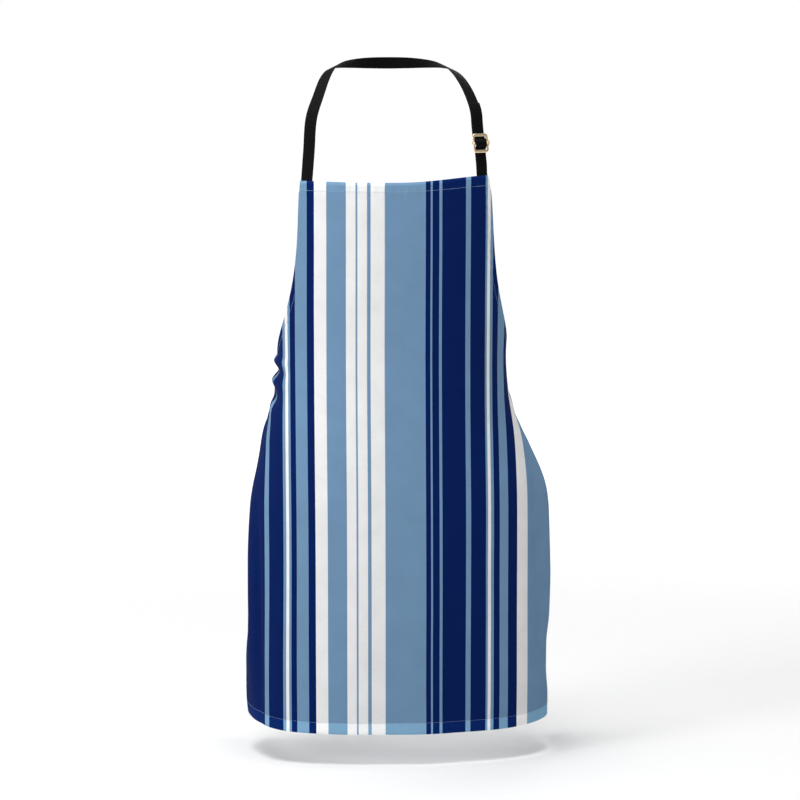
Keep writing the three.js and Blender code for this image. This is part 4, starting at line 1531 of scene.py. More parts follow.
    def hem(self, name: str, edge: Edge) -> Piece:
        """One hem: the cloth turned round the edge and laid behind the panel.

        Args:
            name: the node that it stands for.
            edge: the edge that it folds round.

        Returns:
            The object.
        """
        profile, facing = self.hem_profile()
        flat_part = profile[:, 0] > 0
        insets = np.where(flat_part, profile[:, 0] * edge.hem, profile[:, 0])
        rim = self.drape.place(edge.line[:, 0], edge.line[:, 1])
        inner = edge.inset(2.0)
        away = unit(rim - self.drape.place(inner[:, 0], inner[:, 1]))
        layers = []
        for half in (self.ply / 2, -self.ply / 2):
            for inset, offset, (sideways, outwards) in zip(insets, profile[:, 1], facing):
                reach = inset + half * sideways
                flat = edge.inset(max(reach, 0.0))
                places = self.drape.place(flat[:, 0], flat[:, 1], offset + half * outwards)
                layers.append(places + away * max(-reach, 0.0))
        count = len(insets)
        ring = np.stack(layers[:count] + layers[:count - 1:-1], axis=1)
        mirror = np.stack([edge.line - edge.inward * max(i, 0.0) for i in insets], axis=1)
        shift = self.drape.printed(edge.line[:, 0], edge.line[:, 1]) - edge.line[:, 0]
        mirror[..., 0] += shift[:, None]
        uv = np.concatenate([mirror, mirror[:, ::-1]], axis=1).reshape(-1, 2)
        faces = rings_to_faces(ring.shape[0], ring.shape[1])
        piece = add_piece(name + "_fold", ring.reshape(-1, 3), faces, [self.finishes.front], uv)
        face_outwards(piece)
        return piece

    def seam_rows(self, edge: Edge) -> Rows:
        """A hem's row of stitches, in front of the cloth and behind it.

        Args:
            edge: the hemmed edge.

        Returns:
            The two lines.
        """
        flat = edge.inset(edge.hem - self.drape.cut.seam_inset)
        out = self.drape.out(flat[:, 0], flat[:, 1])
        front = self.ply / 2 + self.thread_lift
        behind = -1.5 * self.ply - self.fold_gap - self.thread_lift
        return [
            (self.drape.place(flat[:, 0], flat[:, 1], front), out),
            (self.drape.place(flat[:, 0], flat[:, 1], behind), -out),
        ]

    def label(self) -> list[Piece]:
        """The blank care label behind the cloth, curling a little at its free end, and its stitches.

        Returns:
            The label and its stitches.
        """
        cut = self.drape.cut
        outer = cut.half_width - cut.edge_hem - self.label_inset
        u = np.linspace(outer - self.label_width, outer, self.label_columns)
        v = np.linspace(self.label_below, self.label_below + self.label_height, self.label_rows)
        across, down = np.meshgrid(u, v)
        share = (down - self.label_below) / self.label_height
        curl = -self.ply / 2 - self.label_gap - self.label_curl * share**2.2
        curl = curl - 0.25 * np.sin(across / 3.1) * share
        front = self.drape.place(across, down, curl)
        out = self.drape.out(across, down)
        back = front - out * self.label_thickness
        rows, columns = across.shape
        rings = np.concatenate([front, back[:, ::-1]], axis=1)
        faces = rings_to_faces(rows, 2 * columns)
        flat = np.stack([across, down], axis=-1)
        uv = np.concatenate([flat, flat[:, ::-1]], axis=1).reshape(-1, 2)
        piece = add_piece("blank_care_label", rings.reshape(-1, 3), faces, [self.finishes.satin], uv)
        face_outwards(piece)
        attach(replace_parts(piece, "care_label"), Body.APRON.value)
        tack = Stitching(pitch=2.0, length=1.5, radius=0.18).build(
            "care_label_stitches", [(back[2], -out[2])], self.finishes.thread
        )
        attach(tack, Body.APRON.value)
        return [piece, tack]


# ---- webbing at the neck ----


@dataclass
class SliderPlace:
    """The slider's crossbar: its middle and its directions."""

    middle: Array = field(default_factory=lambda: node_middle("slider_crossbar"))
    rise: Array = field(default_factory=lambda: joint_axis("strap_adjust"))
    across: Array = field(default_factory=lambda: joint_axis("slider_rock"))

    @property
    def out(self) -> Array:
        """The way that the slider's face looks."""
        out = unit(np.cross(self.rise, self.across))
        return out if out[1] < 0 else -out

    def at(self, height: float, depth: float, aside: float = 0.0) -> Array:
        """A place by its height along the strap, its depth and how far it lies to one side."""
        return self.middle + self.rise * height + self.out * depth + self.across * aside

    def matrix(self) -> Matrix:
        """From a slider drawn upright with its face to -Y, in millimetres, to the frame, in metres."""
        axes = np.stack([self.across, -self.out, self.rise], axis=1) * MM
        rows = [[*axes[k], self.middle[k] * MM] for k in range(3)]
        return Matrix([*rows, [0, 0, 0, 1]])


@dataclass
class NeckWebbing:
    """The neck strap, the strap below the slider, and their stitching."""

    drape: Drape
    finishes: Finishes
    slider: SliderPlace
    tape: float = 0.9
    width: float = 17
    sewn: float = 25
    sewn_offset: float = -2.25
    right_inset: float = 9
    left_inset: float = 9
    weave_end: float = 11
    tail_length: float = 58
    slider_height: float = 52
    lower_depth: float = -3.35
    return_depth: float = -4.6
    neck_depth: float = -5.85
    fold_radius: float = 1.75
    weave_radius: float = 2.95
    fold_end: float = 24
    fold_stitch_height: float = 18
    fold_stitch_half: float = 2.2
    shoulder: tuple[Triple, ...] = (
        (105, -125, -41), (97, -101, -23), (89.5, -76, -12), (82, -51, -6),
        (69, -28, -2), (49, -11, -0.5), (25, -2, 0),
    )
    shoulder_outs: tuple[Triple, ...] = (
        (0.34, -0.64, 0.69), (0.34, -0.44, 0.83), (0.38, -0.25, 0.89), (0.44, -0.04, 0.9),
        (0.5, 0.26, 0.82), (0.42, 0.64, 0.64), (0.22, 0.9, 0.37),
    )
    nape_out: Triple = (0, 0.97, 0.24)
    blend_start: Triple = (30, -5, 0)
    blend_way: Triple = (1, -0.35, -0.35)
    blend_length: float = 134

    def build(self) -> None:
        """Builds the straps, and their stitches on their bodies."""
        self.neck_strap()
        self.lower_strap()
        self.upper_end()

    def sewn_places(self, side: Side, inset: float) -> tuple[Array, Array]:
        """The places of webbing sewn behind the bib's corner, from its end up, and the way it faces.

        Args:
            side: the corner's side.
            inset: from the corner to the webbing's middle.

        Returns:
            The places and the facings.
        """
        u = side.value * (self.drape.cut.bib_half_width - inset)
        v = np.array([self.sewn, self.sewn * 0.75, self.sewn * 0.5, self.sewn * 0.25, 0])
        across = np.full(len(v), u)
        return self.drape.place(across, v, self.sewn_offset), self.drape.out(across, v)

    def fold_route(self) -> list[Array]:
        """The webbing's route from the end of its short leg, round the crossbar, and up behind.

        Returns:
            The places.
        """
        back, turn = self.neck_depth, np.radians([-280, -250, -215, -180, -150, -115, -80])
        radius = self.fold_radius
        short = [(23, self.return_depth), (14, self.return_depth), (11, self.return_depth)]
        short += [(8, self.return_depth + 0.5), (5.5, -1.9), (4, -0.8), (2.7, 0.2), (1.5, radius - 0.7)]
        bend = [(radius * math.cos(a), radius * math.sin(a)) for a in turn]
        leg = [(2.4, -radius - 0.35), (5, back + 1.7), (8, back + 0.6), (11, back + 0.05), (14, back)]
        leg.append((self.fold_end, back))
        return [self.slider.at(height, depth) for height, depth in short + bend + leg]

    def neck_strap(self) -> None:
        """The strap from its fold round the crossbar, over the neck, to the right corner of the bib."""
        folded = through(np.array(self.fold_route()), 4)
        along = unit(np.gradient(folded, axis=0))
        fold_outs = unit(np.cross(self.slider.across, along))
        fold_outs = fold_outs * (1 if fold_outs[-1] @ self.slider.out > 0 else -1)
        line, face = self.neck_line()
        ribbon = Ribbon(
            np.vstack([folded[:-1], line]),
            np.vstack([fold_outs[:-1], face]),
            width=self.width,
            thickness=self.tape,
            cup=0.25,
        )
        strap = ribbon.build("neck_webbing", self.finishes.webbing)
        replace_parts(strap, "neck_strap", "neck_strap_run", "neck_strap_fold")
        self.follow_slide(strap)
        self.box_stitch("neck_box_stitch_right", *self.sewn_places(Side.RIGHT, self.right_inset))
        self.fold_stitch()

    def follow_slide(self, strap: Piece) -> None:
        """Bakes a strap's placement into its mesh.

        Args:
            strap: the webbing.
        """
        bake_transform(strap)

    def neck_line(self) -> tuple[Array, Array]:
        """The neck strap's places and the way that it faces, from its fold to its sewn end.

        Returns:
            The places and the facings.
        """
        shoulder = np.array(self.shoulder)
        outs = unit(np.array(self.shoulder_outs))
        flip = np.array([-1, 1, 1])
        sewn, sewn_outs = self.sewn_places(Side.RIGHT, self.right_inset)
        rise, straight = self.slider.rise * flip, self.slider.out * flip
        points = [self.slider.at(self.fold_end, self.neck_depth), self.slider.at(46, self.neck_depth)]
        points += [*shoulder, np.array([0, self.tape / 2, 0]), *(shoulder * flip)[::-1]]
        points += [sewn[-1] + rise * 88, sewn[-1] + rise * 42, *sewn[::-1]]
        faces = [self.slider.out, self.slider.out, *outs, unit(np.array(self.nape_out))]
        faces += [*(outs * flip)[::-1], straight, straight, *sewn_outs[::-1]]
        return through(np.array(points), 12), unit(through(np.array(faces), 12))

    def fold_stitch(self) -> None:
        """A box of stitches through the fold, above the slider."""
        lift = self.neck_depth - self.tape / 2 - 0.1
        half = self.width / 2 - 3
        low, high = (self.fold_stitch_height + way * self.fold_stitch_half for way in (-1, 1))
        sides = [((low, -half), (low, half)), ((high, -half), (high, half))]
        sides += [((low, aside), (high, aside)) for aside in (-half, half)]
        rows = []
        for side in sides:
            ends = [self.slider.at(height, lift, aside) for height, aside in side]
            line = resampled(np.array(ends), 1.0)
            rows.append((line, np.tile(-self.slider.out, (len(line), 1))))
        piece = Stitching(pitch=1.6, length=1.25, radius=0.2).build(
            "fold_stitches", rows, self.finishes.black_thread
        )
        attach(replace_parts(piece, "fold_stitch"), Body.CARRIAGE.value)

    def weave_route(self) -> Array:
        """The lower strap's heights and depths from below the slider to the crossbar's middle."""
        lower, top = self.lower_depth, self.weave_radius
        route = [(-self.weave_end, lower), (-8.6, lower + 0.3), (-6, -0.2), (-4.1, 1.5)]
        return np.array([*route, (-2.2, top - 0.45), (0, top)])

    def lower_strap(self) -> None:
        """The strap from the bib's left corner up to the crossbar's middle."""
        sewn, sewn_outs = self.sewn_places(Side.LEFT, self.left_inset)
        heights = np.linspace(-self.slider_height * 0.55, -self.weave_end, 4)[:-1]
        rising = [self.slider.at(h, self.lower_depth) for h in heights]
        weave = [self.slider.at(h, d) for h, d in self.weave_route()]
        line = through(np.vstack([sewn, rising, weave]), 6)
        seed = np.vstack([sewn_outs, np.tile(self.slider.out, (len(rising) + len(weave), 1))])
        strap = Ribbon(line, through(seed, 6), self.width, self.tape, cup=0.15).build(
            "lower_webbing", self.finishes.webbing
        )
        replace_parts(strap, "lower_strap", "strap_weave")
        start, end = sewn[-1], self.slider.at(-self.weave_end, self.lower_depth)
        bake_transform(strap)
        self.box_stitch("neck_box_stitch_left", sewn, sewn_outs)

    def upper_end(self) -> None:
        """The strap's free end, from the crossbar's middle up behind the slider's top bar."""
        weave = [self.slider.at(-h, d) for h, d in self.weave_route()[::-1]]
        behind, behind_outs = self.neck_line()
        laid = arc_lengths(behind) < self.tail_length - self.fold_end
        ahead = behind[laid] + behind_outs[laid] * (self.lower_depth - self.neck_depth)
        line = np.vstack([through(np.array([*weave, ahead[0]]), 6)[:-1], ahead])
        outs = np.tile(self.slider.out, (len(line), 1))
        outs[-len(ahead):] = behind_outs[laid]
        ribbon = Ribbon(line, outs, self.width, self.tape, cup=0.15)
        strap = ribbon.build("strap_free_end", self.finishes.webbing)
        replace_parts(strap, "lower_strap_tail")
        self.follow_slide(strap)

    def box_stitch(self, node: str, places: Array, outs: Array) -> None:
        """A sewn box with its diagonals, on the back of webbing between its end and the bib's edge.

        Args:
            node: the node that it stands for.
            places: the sewn stretch.
            outs: its facings.
        """
        thread = self.finishes.black_thread
        piece = box_of_stitches(node, places[0], places[-1], outs.mean(0), self.tape, thread)
        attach(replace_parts(piece, node), Body.APRON.value)


def box_of_stitches(
    name: str,
    start: Array,
    end: Array,
    out: Array,
    tape: float,
    finish: Material,
    width: float = 11,
    height: float = 15,
) -> Piece:
    """A box of stitches with both diagonals, on the inner face of sewn webbing.

    Args:
        name: the node that the stitches stand for.
        start: one end of the sewn stretch, on the webbing's centreline.
        end: the other end.
        out: the way that the webbing's outer face looks.
        tape: the webbing's thickness.
        finish: the thread.
        width: of the box, across the webbing.
        height: of the box, along the webbing.

    Returns:
        The stitches, as one piece.
    """
    along = unit(end - start)
    out = unit(out - out.dot(along) * along)
    across = np.cross(along, out)
    middle = (start + end) / 2 - out * (tape / 2 + 0.12)
    signs = ((-1, -1), (1, -1), (1, 1), (-1, 1))
    corners = [middle + across * (x * width / 2) + along * (z * height / 2) for x, z in signs]
    lines = [(0, 1), (1, 2), (2, 3), (3, 0), (0, 2), (1, 3)]
    rows = []
    for a, b in lines:
        line = resampled(np.array([corners[a], corners[b]]), 1.0)
        rows.append((line, np.tile(-out, (len(line), 1))))
    return Stitching(pitch=2.1, length=1.7, radius=0.2).build(name + "_thread", rows, finish)


# ---- the slider ----


@dataclass
class StrapSlider:
    """The plated slider: a rounded frame, the eyes at its sides and the riveted crossbar."""

    place: SliderPlace
    finishes: Finishes
    width: float = 23.4
    length: float = 27
    thickness: float = 2.4
    side_bar: float = 2.8
    end_bar: float = 4.3
    corner: float = 4.5
    window_corner: float = 2
    edge: float = 0.8
    eye_radius: float = 2.1
    pin_radius: float = 1.0
    rivet_radius: float = 2.0
    dome: tuple[tuple[float, float], ...] = ((0.25, 1.0), (0.3, 0.72), (0.12, 0.45))  # steps out and in
    gap: float = 0.3
    eye_proud: float = 0.3  # how much deeper an eye is than its side bar
    pin_proud: float = 0.25  # how far the pin stands out before its heads
    corner_steps: int = 7
    window_steps: int = 6
    smooth_angle: float = 50

    def build(self) -> None:
        """Builds both pieces on the slider's body."""
        for piece, node in ((self.frame_piece(), "slider_frame"), (self.crossbar(), "slider_crossbar")):
            piece.data.transform(self.place.matrix())
            piece.data.update()
            piece.data.materials.append(self.finishes.plating)
            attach(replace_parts(piece, node), Body.SLIDER.value)
            log.info("%s: %d faces", piece.name, len(piece.data.polygons))

    def frame_piece(self) -> Piece:
        """A block, its corners bevelled, its window cut through, its edges rounded and its eyes joined on.

        Returns:
            The frame, drawn upright in millimetres.
        """
        piece = new_block("slider_ring", (self.width, self.thickness, self.length))
        self.bevel_uprights(piece, self.corner, self.corner_steps)
        self.open_window(piece)
        self.finish_with_bevel(piece, self.edge, 4, 40)
        eyes = [self.eye(side) for side in Side]
        bpy.ops.object.select_all(action="DESELECT")
        for part in (piece, *eyes):
            part.select_set(True)
        bpy.context.view_layer.objects.active = piece
        bpy.ops.object.join()
        bpy.ops.object.shade_smooth_by_angle(angle=math.radians(self.smooth_angle))
        return piece

    def bevel_uprights(self, piece: Piece, radius: float, segments: int) -> None:
        """Rounds a block's corners, seen from the front.

        Args:
            piece: the block, active.
            radius: of the corners.
            segments: how many flats a corner has.
        """
        open_selected(piece, "EDGE", lambda edge: edge_span(edge, 1) > self.thickness / 2)
        bpy.ops.mesh.bevel(offset=radius, offset_type="OFFSET", segments=segments, affect="EDGES")
        bpy.ops.object.mode_set(mode="OBJECT")

    def open_window(self, piece: Piece) -> None:
        """Cuts the window out with a rounded block.

        Args:
            piece: the frame's block.
        """
        size = (self.width - 2 * self.side_bar, 3 * self.thickness, self.length - 2 * self.end_bar)
        cutter = new_block("window_cutter", size)
        self.bevel_uprights(cutter, self.window_corner, self.window_steps)
        cut = piece.modifiers.new("window", "BOOLEAN")
        cut.operation = "DIFFERENCE"
        cut.solver = "EXACT"
        cut.object = cutter
        bpy.context.view_layer.objects.active = piece
        bpy.ops.object.modifier_apply(modifier=cut.name)
        bpy.data.objects.remove(cutter)

    def finish_with_bevel(self, piece: Piece, width: float, segments: int, angle: float) -> None:
        """Rounds every sharp edge with an applied bevel.

        Args:
            piece: the piece.
            width: of the bevel.
            segments: its flats.
            angle: the least angle that counts as sharp.
        """
        bevel = piece.modifiers.new("rounding", "BEVEL")
        bevel.width = width
        bevel.segments = segments
        bevel.limit_method = "ANGLE"
        bevel.angle_limit = math.radians(angle)
        bpy.context.view_layer.objects.active = piece
        bpy.ops.object.modifier_apply(modifier=bevel.name)

    def eye(self, side: Side) -> Piece:
        """The rolled eye at a side bar, bored for the crossbar.

        Args:
            side: the side bar's side.

        Returns:
            The eye.
        """
        middle = side.value * (self.width - self.side_bar) / 2
        length = self.side_bar + self.eye_proud
        piece = new_rod(f"slider_eye_{side.word}", self.eye_radius, length, 28, middle)
        open_selected(piece, "FACE", lambda face: abs(face.normal.x) > SQUARE_ON)
        bpy.ops.mesh.inset(thickness=self.eye_radius - self.pin_radius - self.gap, use_individual=True)
        bpy.ops.mesh.bridge_edge_loops()
        bpy.ops.object.mode_set(mode="OBJECT")
        self.finish_with_bevel(piece, 0.3, 2, 60)
        return piece

    def crossbar(self) -> Piece:
        """The pin, with a domed rivet head drawn out at each end.

        Returns:
            The crossbar, drawn along X in millimetres.
        """
        shank = self.width / 2 + self.gap + self.pin_proud
        piece = new_rod("slider_pin", self.pin_radius, 2 * shank, 24)
        for side in Side:
            open_selected(piece, "FACE", lambda face: face.normal.x * side.value > SQUARE_ON)
            for reach, spread in ((0.0, self.rivet_radius / self.pin_radius), *self.dome):
                bpy.ops.mesh.extrude_region_move(TRANSFORM_OT_translate={"value": (side.value * reach, 0, 0)})
                middle = (side.value * shank, 0, 0)
                bpy.ops.transform.resize(value=(1, spread, spread), center_override=middle)
            bpy.ops.object.mode_set(mode="OBJECT")
        bpy.ops.object.shade_smooth_by_angle(angle=math.radians(self.smooth_angle))
        return piece


# ---- the waist ties ----


@dataclass
class WaistTies:
    """The two ties, the bow behind the back and its hanging ends."""

    drape: Drape
    finishes: Finishes
    tape: float = 0.9
    width: float = 17
    sewn: float = 25
    sewn_offset: float = -2.25
    running_offset: float = -3.15
    below: float = 274.5
    knot_backset: float = 7
    tie_depth: float = -4
    knot_half_width: float = 12
    knot_half_depth: float = 8
    knot_half_height: float = 10.5
    gap: float = 0.3
    loop_depth: float = 3
    loop_rise: float = 3.5
    loop_length: float = 92
    loop_fatness: float = 14
    loop_droop: float = 0.3
    tail_spread: float = 34
    left_tail: float = 375
    right_tail: float = 360
    tip_fold: float = 8
    tail_gap: float = 0.6
    tie_places: int = 6  # along a tie's free stretch
    tie_gather: float = 0.28  # how much narrower the webbing is drawn at the knot
    loop_gather: float = 0.34
    loop_steps: int = 44
    tail_steps: int = 60
    knot_sides: int = 48
    knot_cuts: int = 26

    def __post_init__(self) -> None:
        """Finds the knot from its CAD node."""
        self.knot = node_middle("bow_knot")

    def build(self) -> None:
        """Builds the ties, the knot, the loops and the tails."""
        self.knot_piece()
        for side in Side:
            self.tie(side)
            self.loop(side)
            self.tail(side)

    def tie(self, side: Side) -> None:
        """A tie from its sewn end at the corner, round the back to the knot.

        Args:
            side: the tie's side.
        """
        half = self.drape.cut.half_width
        u = side.value * np.linspace(half - self.sewn, half, 4)
        v = np.full(4, self.below)
        sewn = self.drape.place(u, v, self.sewn_offset)
        outs = self.drape.out(u, v)
        back = self.drape.wearer.outline(self.below)[1][-1]
        free = self.tie_places
        points, faces = [*sewn], [*outs]
        for i in range(1, free + 1):
            arc = half + (back - half) * i / (free + 0.9)
            x, y = self.drape.wearer.around(self.below, np.array([side.value * arc]))[0]
            ahead, behind = self.drape.wearer.around(self.below, side.value * np.array([arc + 2, arc - 2]))
            along = unit(np.array([*(ahead - behind), 0]))
            out = unit(np.cross(along, np.array([0, 0, side.value])))
            drift = (i / free) * (self.knot_backset + self.tie_depth)
            place = np.array([x, y, self.knot[2]]) + out * (self.running_offset + drift)
            place[2] += 1.2 * math.sin(2.2 * i) - 1.5 * math.sin(math.pi * i / free)
            points.append(place)
            faces.append(out)
        knot_side = side.value * (self.knot_half_width - 3)
        points.append(np.array([knot_side, self.knot[1] + self.tie_depth, self.knot[2]]))
        faces.append(np.array([0, 1, 0]))
        line, face = through(np.array(points), 10), through(np.array(faces), 10)
        share = np.linspace(0, 1, len(line))
        width = self.width * (1 - self.tie_gather * smoothstep(0.9, 1.0, share))
        cup = 0.2 + 2.2 * smoothstep(0.86, 1.0, share)
        ribbon = Ribbon(line, face, width, self.tape, cup)
        piece = ribbon.build(f"waist_tie_webbing_{side.word}", self.finishes.webbing)
        self.on_apron(piece, f"waist_tie_{side.word}")
        node = f"tie_box_stitch_{side.word}"
        thread = box_of_stitches(node, sewn[0], sewn[-1], outs.mean(0), self.tape, self.finishes.black_thread)
        self.on_apron(thread, node)

    def on_apron(self, piece: Piece, node: str) -> None:
        """Puts a piece in place of a CAD node, on the apron's body."""
        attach(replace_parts(piece, node), Body.APRON.value)

    def loop(self, side: Side) -> None:
        """A bow loop: webbing that leaves the knot, turns and comes back, drooping.

        Args:
            side: the loop's side.
        """
        droop = self.loop_droop
        outward = np.array([side.value * math.cos(droop), 0, -math.sin(droop)])
        t = np.linspace(-1, 1, self.loop_steps + 1)
        turn = t * math.pi / 2
        start = self.knot_half_width - 2.5
        reach = start + (self.loop_length - start) * np.abs(np.cos(turn)) ** 0.8
        swell = self.loop_fatness * np.cos(turn) ** 2 * (0.9 + 1.1 * np.sin(turn))
        line = self.knot + outward * reach[:, None]
        line[:, 1] += self.loop_depth + swell + (self.tape + self.gap) * 0.7 * t
        line[:, 2] += self.loop_rise + 1.2 * np.sin(3.1 * t) * np.cos(turn)
        line = resampled(line, 3.2)
        along = unit(np.gradient(line, axis=0))
        upright = np.array([side.value * math.sin(droop), 0, math.cos(droop)])
        outs = np.cross(along, upright)
        share = np.abs(np.linspace(-1, 1, len(line)))
        gather = smoothstep(0.72, 1.0, share)
        width = self.width * (1 - self.loop_gather * gather)
        ribbon = Ribbon(line, outs, width, self.tape, cup=0.6 + 1.5 * gather)
        piece = ribbon.build(f"bow_loop_webbing_{side.word}", self.finishes.webbing)
        self.on_apron(piece, f"bow_loop_{side.word}")

    def knot_piece(self) -> None:
        """The knot: webbing wound round the crossing, drawn in at its middle."""
        piece = new_rod("wound_knot", 1, 2 * self.knot_half_width, self.knot_sides)
        open_selected(piece, "EDGE", lambda edge: edge_span(edge, 0) > self.knot_half_width)
        bpy.ops.mesh.subdivide(number_cuts=self.knot_cuts)
        bpy.ops.object.mode_set(mode="OBJECT")
        for vertex in piece.data.vertices:
            vertex.co = self.wound(vertex.co)
        layer = piece.data.uv_layers[0]
        layer.name = "UVMap"
        for loop in piece.data.loops:
            co = piece.data.vertices[loop.vertex_index].co
            turn = math.atan2(co.z, co.y) % (2 * math.pi)
            layer.data[loop.index].uv = (co.x * MM, turn * self.knot_half_depth * MM)
        piece.data.transform(Matrix.Translation(Vector(self.knot) * MM) @ Matrix.Scale(MM, 4))
        piece.data.materials.append(self.finishes.webbing)
        bpy.ops.object.shade_smooth_by_angle(angle=math.radians(60))
        log.info("%s: %d faces", piece.name, len(piece.data.polygons))
        self.on_apron(piece, "bow_knot")

    def wound(self, place: Vector) -> Vector:
        """Where a place on the plain cylinder comes to lie on the wound webbing.

        Args:
            place: on the cylinder.

        Returns:
            The place on the knot.
        """
        share = place.x / self.knot_half_width
        angle = math.atan2(place.z, place.y)
        waist = 0.9 + 0.1 * math.cos(2 * math.pi * share)
        fullness = 5 - 5 * min(0.0, math.sin(angle))
        shoulder = math.sqrt(max(0.0, 1 - abs(share) ** fullness))
        crease = 0.05 * math.sin(5 * share * math.pi + 1.6 * math.sin(angle))
        crease += 0.035 * math.cos(3 * angle + 4 * share)
        swell = shoulder * (waist + crease)
        square = 1 / max(abs(math.cos(angle)) ** 3 + abs(math.sin(angle)) ** 3, 1e-6) ** (1 / 3)
        reach = math.hypot(place.y, place.z) * swell * square
        lean = 0.9 * math.sin(angle) * (1 - share * share)
        return Vector(
            (
                place.x * (1 - 0.06 * math.cos(angle) ** 2) + lean,
                math.cos(angle) * reach * self.knot_half_depth,
                math.sin(angle) * reach * self.knot_half_height,
            )
        )

    def tail(self, side: Side) -> None:
        """A hanging end, with its tip folded up and stitched.

        Args:
            side: the tail's side.
        """
        length = self.left_tail if side is Side.LEFT else self.right_tail
        top = self.knot[2] - self.knot_half_height - self.tail_gap
        t = np.linspace(0, 1, self.tail_steps + 1)
        spread = self.width / 2 + 1 + (self.tail_spread - self.width / 2) * (1 - (1 - t) ** 2)
        sway = smoothstep(0.02, 0.3, t)
        x = side.value * spread
        y = self.knot[1] + sway * 2.6 * np.sin(5.2 * t + 0.6 * side.value) * t
        line = np.stack([x, y, top - length * t], axis=1)
        twist = sway * 0.28 * np.sin(4.4 * t * math.pi / 2 + 0.9 * side.value)
        outs = np.stack([np.sin(twist), np.cos(twist), np.zeros(len(t))], axis=1)
        ribbon = Ribbon(line, outs, self.width, self.tape, cup=0.35 * (1 - sway * 0.5))
        piece = ribbon.build(f"tail_webbing_{side.word}", self.finishes.webbing)
        body = Body.TAIL_LEFT if side is Side.LEFT else Body.TAIL_RIGHT
        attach(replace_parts(piece, f"tie_tail_{side.word}"), body.value)
        pieces = self.tip(side, ribbon, body)

    def tip(self, side: Side, tail: Ribbon, body: Body) -> list[Piece]:
        """The tip's folded layer and its row of stitches.

        Args:
            side: the tail's side.
            tail: its webbing.
            body: the body that it rides on.

        Returns:
            The folded layer and its stitches.
        """
        line, outs = tail.line, unit(tail.outs)
        lengths = arc_lengths(line)
        inside = lengths > lengths[-1] - self.tip_fold
        away = self.tape + 0.12
        folded = line[inside] + outs[inside] * away
        layer = Ribbon(folded, outs[inside], self.width - 0.2, self.tape)
        piece = layer.build(f"tail_tip_webbing_{side.word}", self.finishes.webbing)
        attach(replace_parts(piece, f"tail_tip_{side.word}"), body.value)
        half = self.width / 2 - 1.5
        ends = [layer.beside(1, s * half, self.tape / 2 + 0.1) for s in (-1, 1)]
        row = resampled(np.array(ends), 1.0)
        facing = np.tile(outs[-1], (len(row), 1))
        thread = Stitching(pitch=1.9, length=1.5, radius=0.2).build(
            f"tail_tip_stitches_{side.word}", [(row, facing)], self.finishes.black_thread
        )
        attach(thread, body.value)
        return [piece, thread]


# ---- the studio ----


@dataclass
class Lamp:
    """A soft square lamp, aimed at the apron."""

    name: str
    place: Triple
    size: float
    power: float
    aim: Triple = (0.0, -0.1, -0.45)

    def build(self) -> None:
        """Adds the lamp to the scene."""
        light = bpy.data.lights.new(self.name, "AREA")
        light.energy = self.power
        light.size = self.size
        lamp = bpy.data.objects.new(self.name, light)
        lamp.location = self.place
        way = Vector(self.aim) - Vector(self.place)
        lamp.rotation_euler = way.to_track_quat("-Z", "Y").to_euler()
        bpy.context.scene.collection.objects.link(lamp)


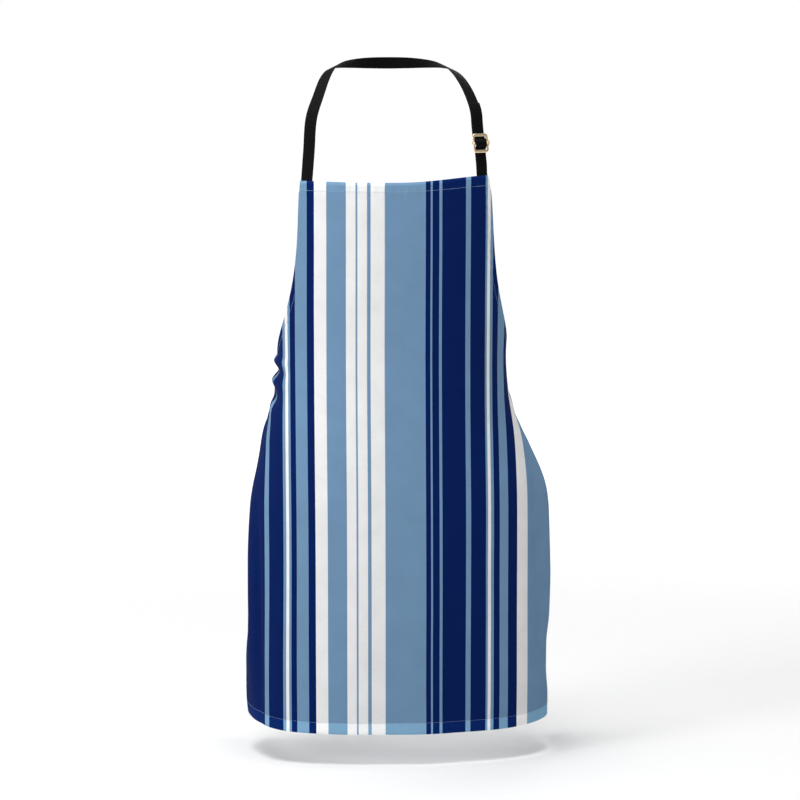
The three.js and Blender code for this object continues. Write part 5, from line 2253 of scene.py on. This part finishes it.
@dataclass
class Studio:
    """A floor of pale paper, soft lamps and the camera."""

    floor_below: float = 0.045
    floor_radius: float = 40.0
    floor_sides: int = 96
    lens: float = 144.6
    distance: float = 4.5
    azimuth: float = -4.5
    elevation: float = 7.0
    target: Triple = (0.006, -0.15, -0.467)
    sky: float = 0.26
    lamps: tuple[Lamp, ...] = (
        Lamp("key_lamp", (-3.2, -2.1, 0.9), 1.2, 56),
        Lamp("back_lamp", (1.2, 3.2, 1.0), 1.6, 22),
        Lamp("top_lamp", (-0.35, -0.4, 2.4), 2.0, 104),
    )

    def build(self) -> None:
        """Builds the camera, the paper and the lamps."""
        self.camera()
        self.floor()
        self.world()
        for lamp in self.lamps:
            lamp.build()

    def camera(self) -> None:
        """The camera, level and aimed at the middle of the apron."""
        turn, tilt = math.radians(self.azimuth), math.radians(self.elevation)
        target = Vector(self.target)
        way = Vector((math.sin(turn) * math.cos(tilt), -math.cos(turn) * math.cos(tilt), math.sin(tilt)))
        data = bpy.data.cameras.new("camera")
        data.sensor_width = 36
        data.lens = self.lens
        camera = bpy.data.objects.new("camera", data)
        camera.location = target + way * self.distance
        camera.rotation_euler = (-way).to_track_quat("-Z", "Y").to_euler()
        bpy.context.scene.collection.objects.link(camera)
        bpy.context.scene.camera = camera

    def floor(self) -> None:
        """The paper: one wide level disc."""
        height = cad_box[0][2] - self.floor_below
        angles = 2 * math.pi * np.arange(self.floor_sides) / self.floor_sides
        edge = np.stack([np.cos(angles), np.sin(angles)], axis=1) * self.floor_radius
        vertices = np.column_stack([edge, np.full(self.floor_sides, height)])
        face = tuple(range(self.floor_sides))
        paper = add_piece("paper_floor", vertices / MM, [face], [StudioPaper().build()])

    def world(self) -> None:
        """An even pale light from all round, behind a plain white background."""
        world = bpy.data.worlds.new("studio")
        world.use_nodes = True
        tree = world.node_tree
        background = tree.nodes["Background"]
        background.inputs["Color"].default_value = (1, 1, 1, 1)
        seen = tree.nodes.new("ShaderNodeLightPath").outputs["Is Camera Ray"]
        strength = tree.nodes.new("ShaderNodeMapRange")
        strength.inputs["To Min"].default_value = self.sky
        strength.inputs["To Max"].default_value = 1.0
        tree.links.new(seen, strength.inputs["Value"])
        tree.links.new(strength.outputs["Result"], background.inputs["Strength"])
        scene = bpy.context.scene
        scene.world = world
        scene.view_settings.view_transform = "Standard"


def main() -> None:
    """Builds the studio and every part of the apron, in order."""
    logging.basicConfig(level=logging.INFO, format="%(name)s: %(message)s")
    Studio().build()
    finishes = Finishes()
    drape = Drape()
    slider = SliderPlace()
    ClothPanel(drape, finishes).build()
    NeckWebbing(drape, finishes, slider).build()
    StrapSlider(slider, finishes).build()
    WaistTies(drape, finishes).build()


if __name__ == "__main__":
    main()
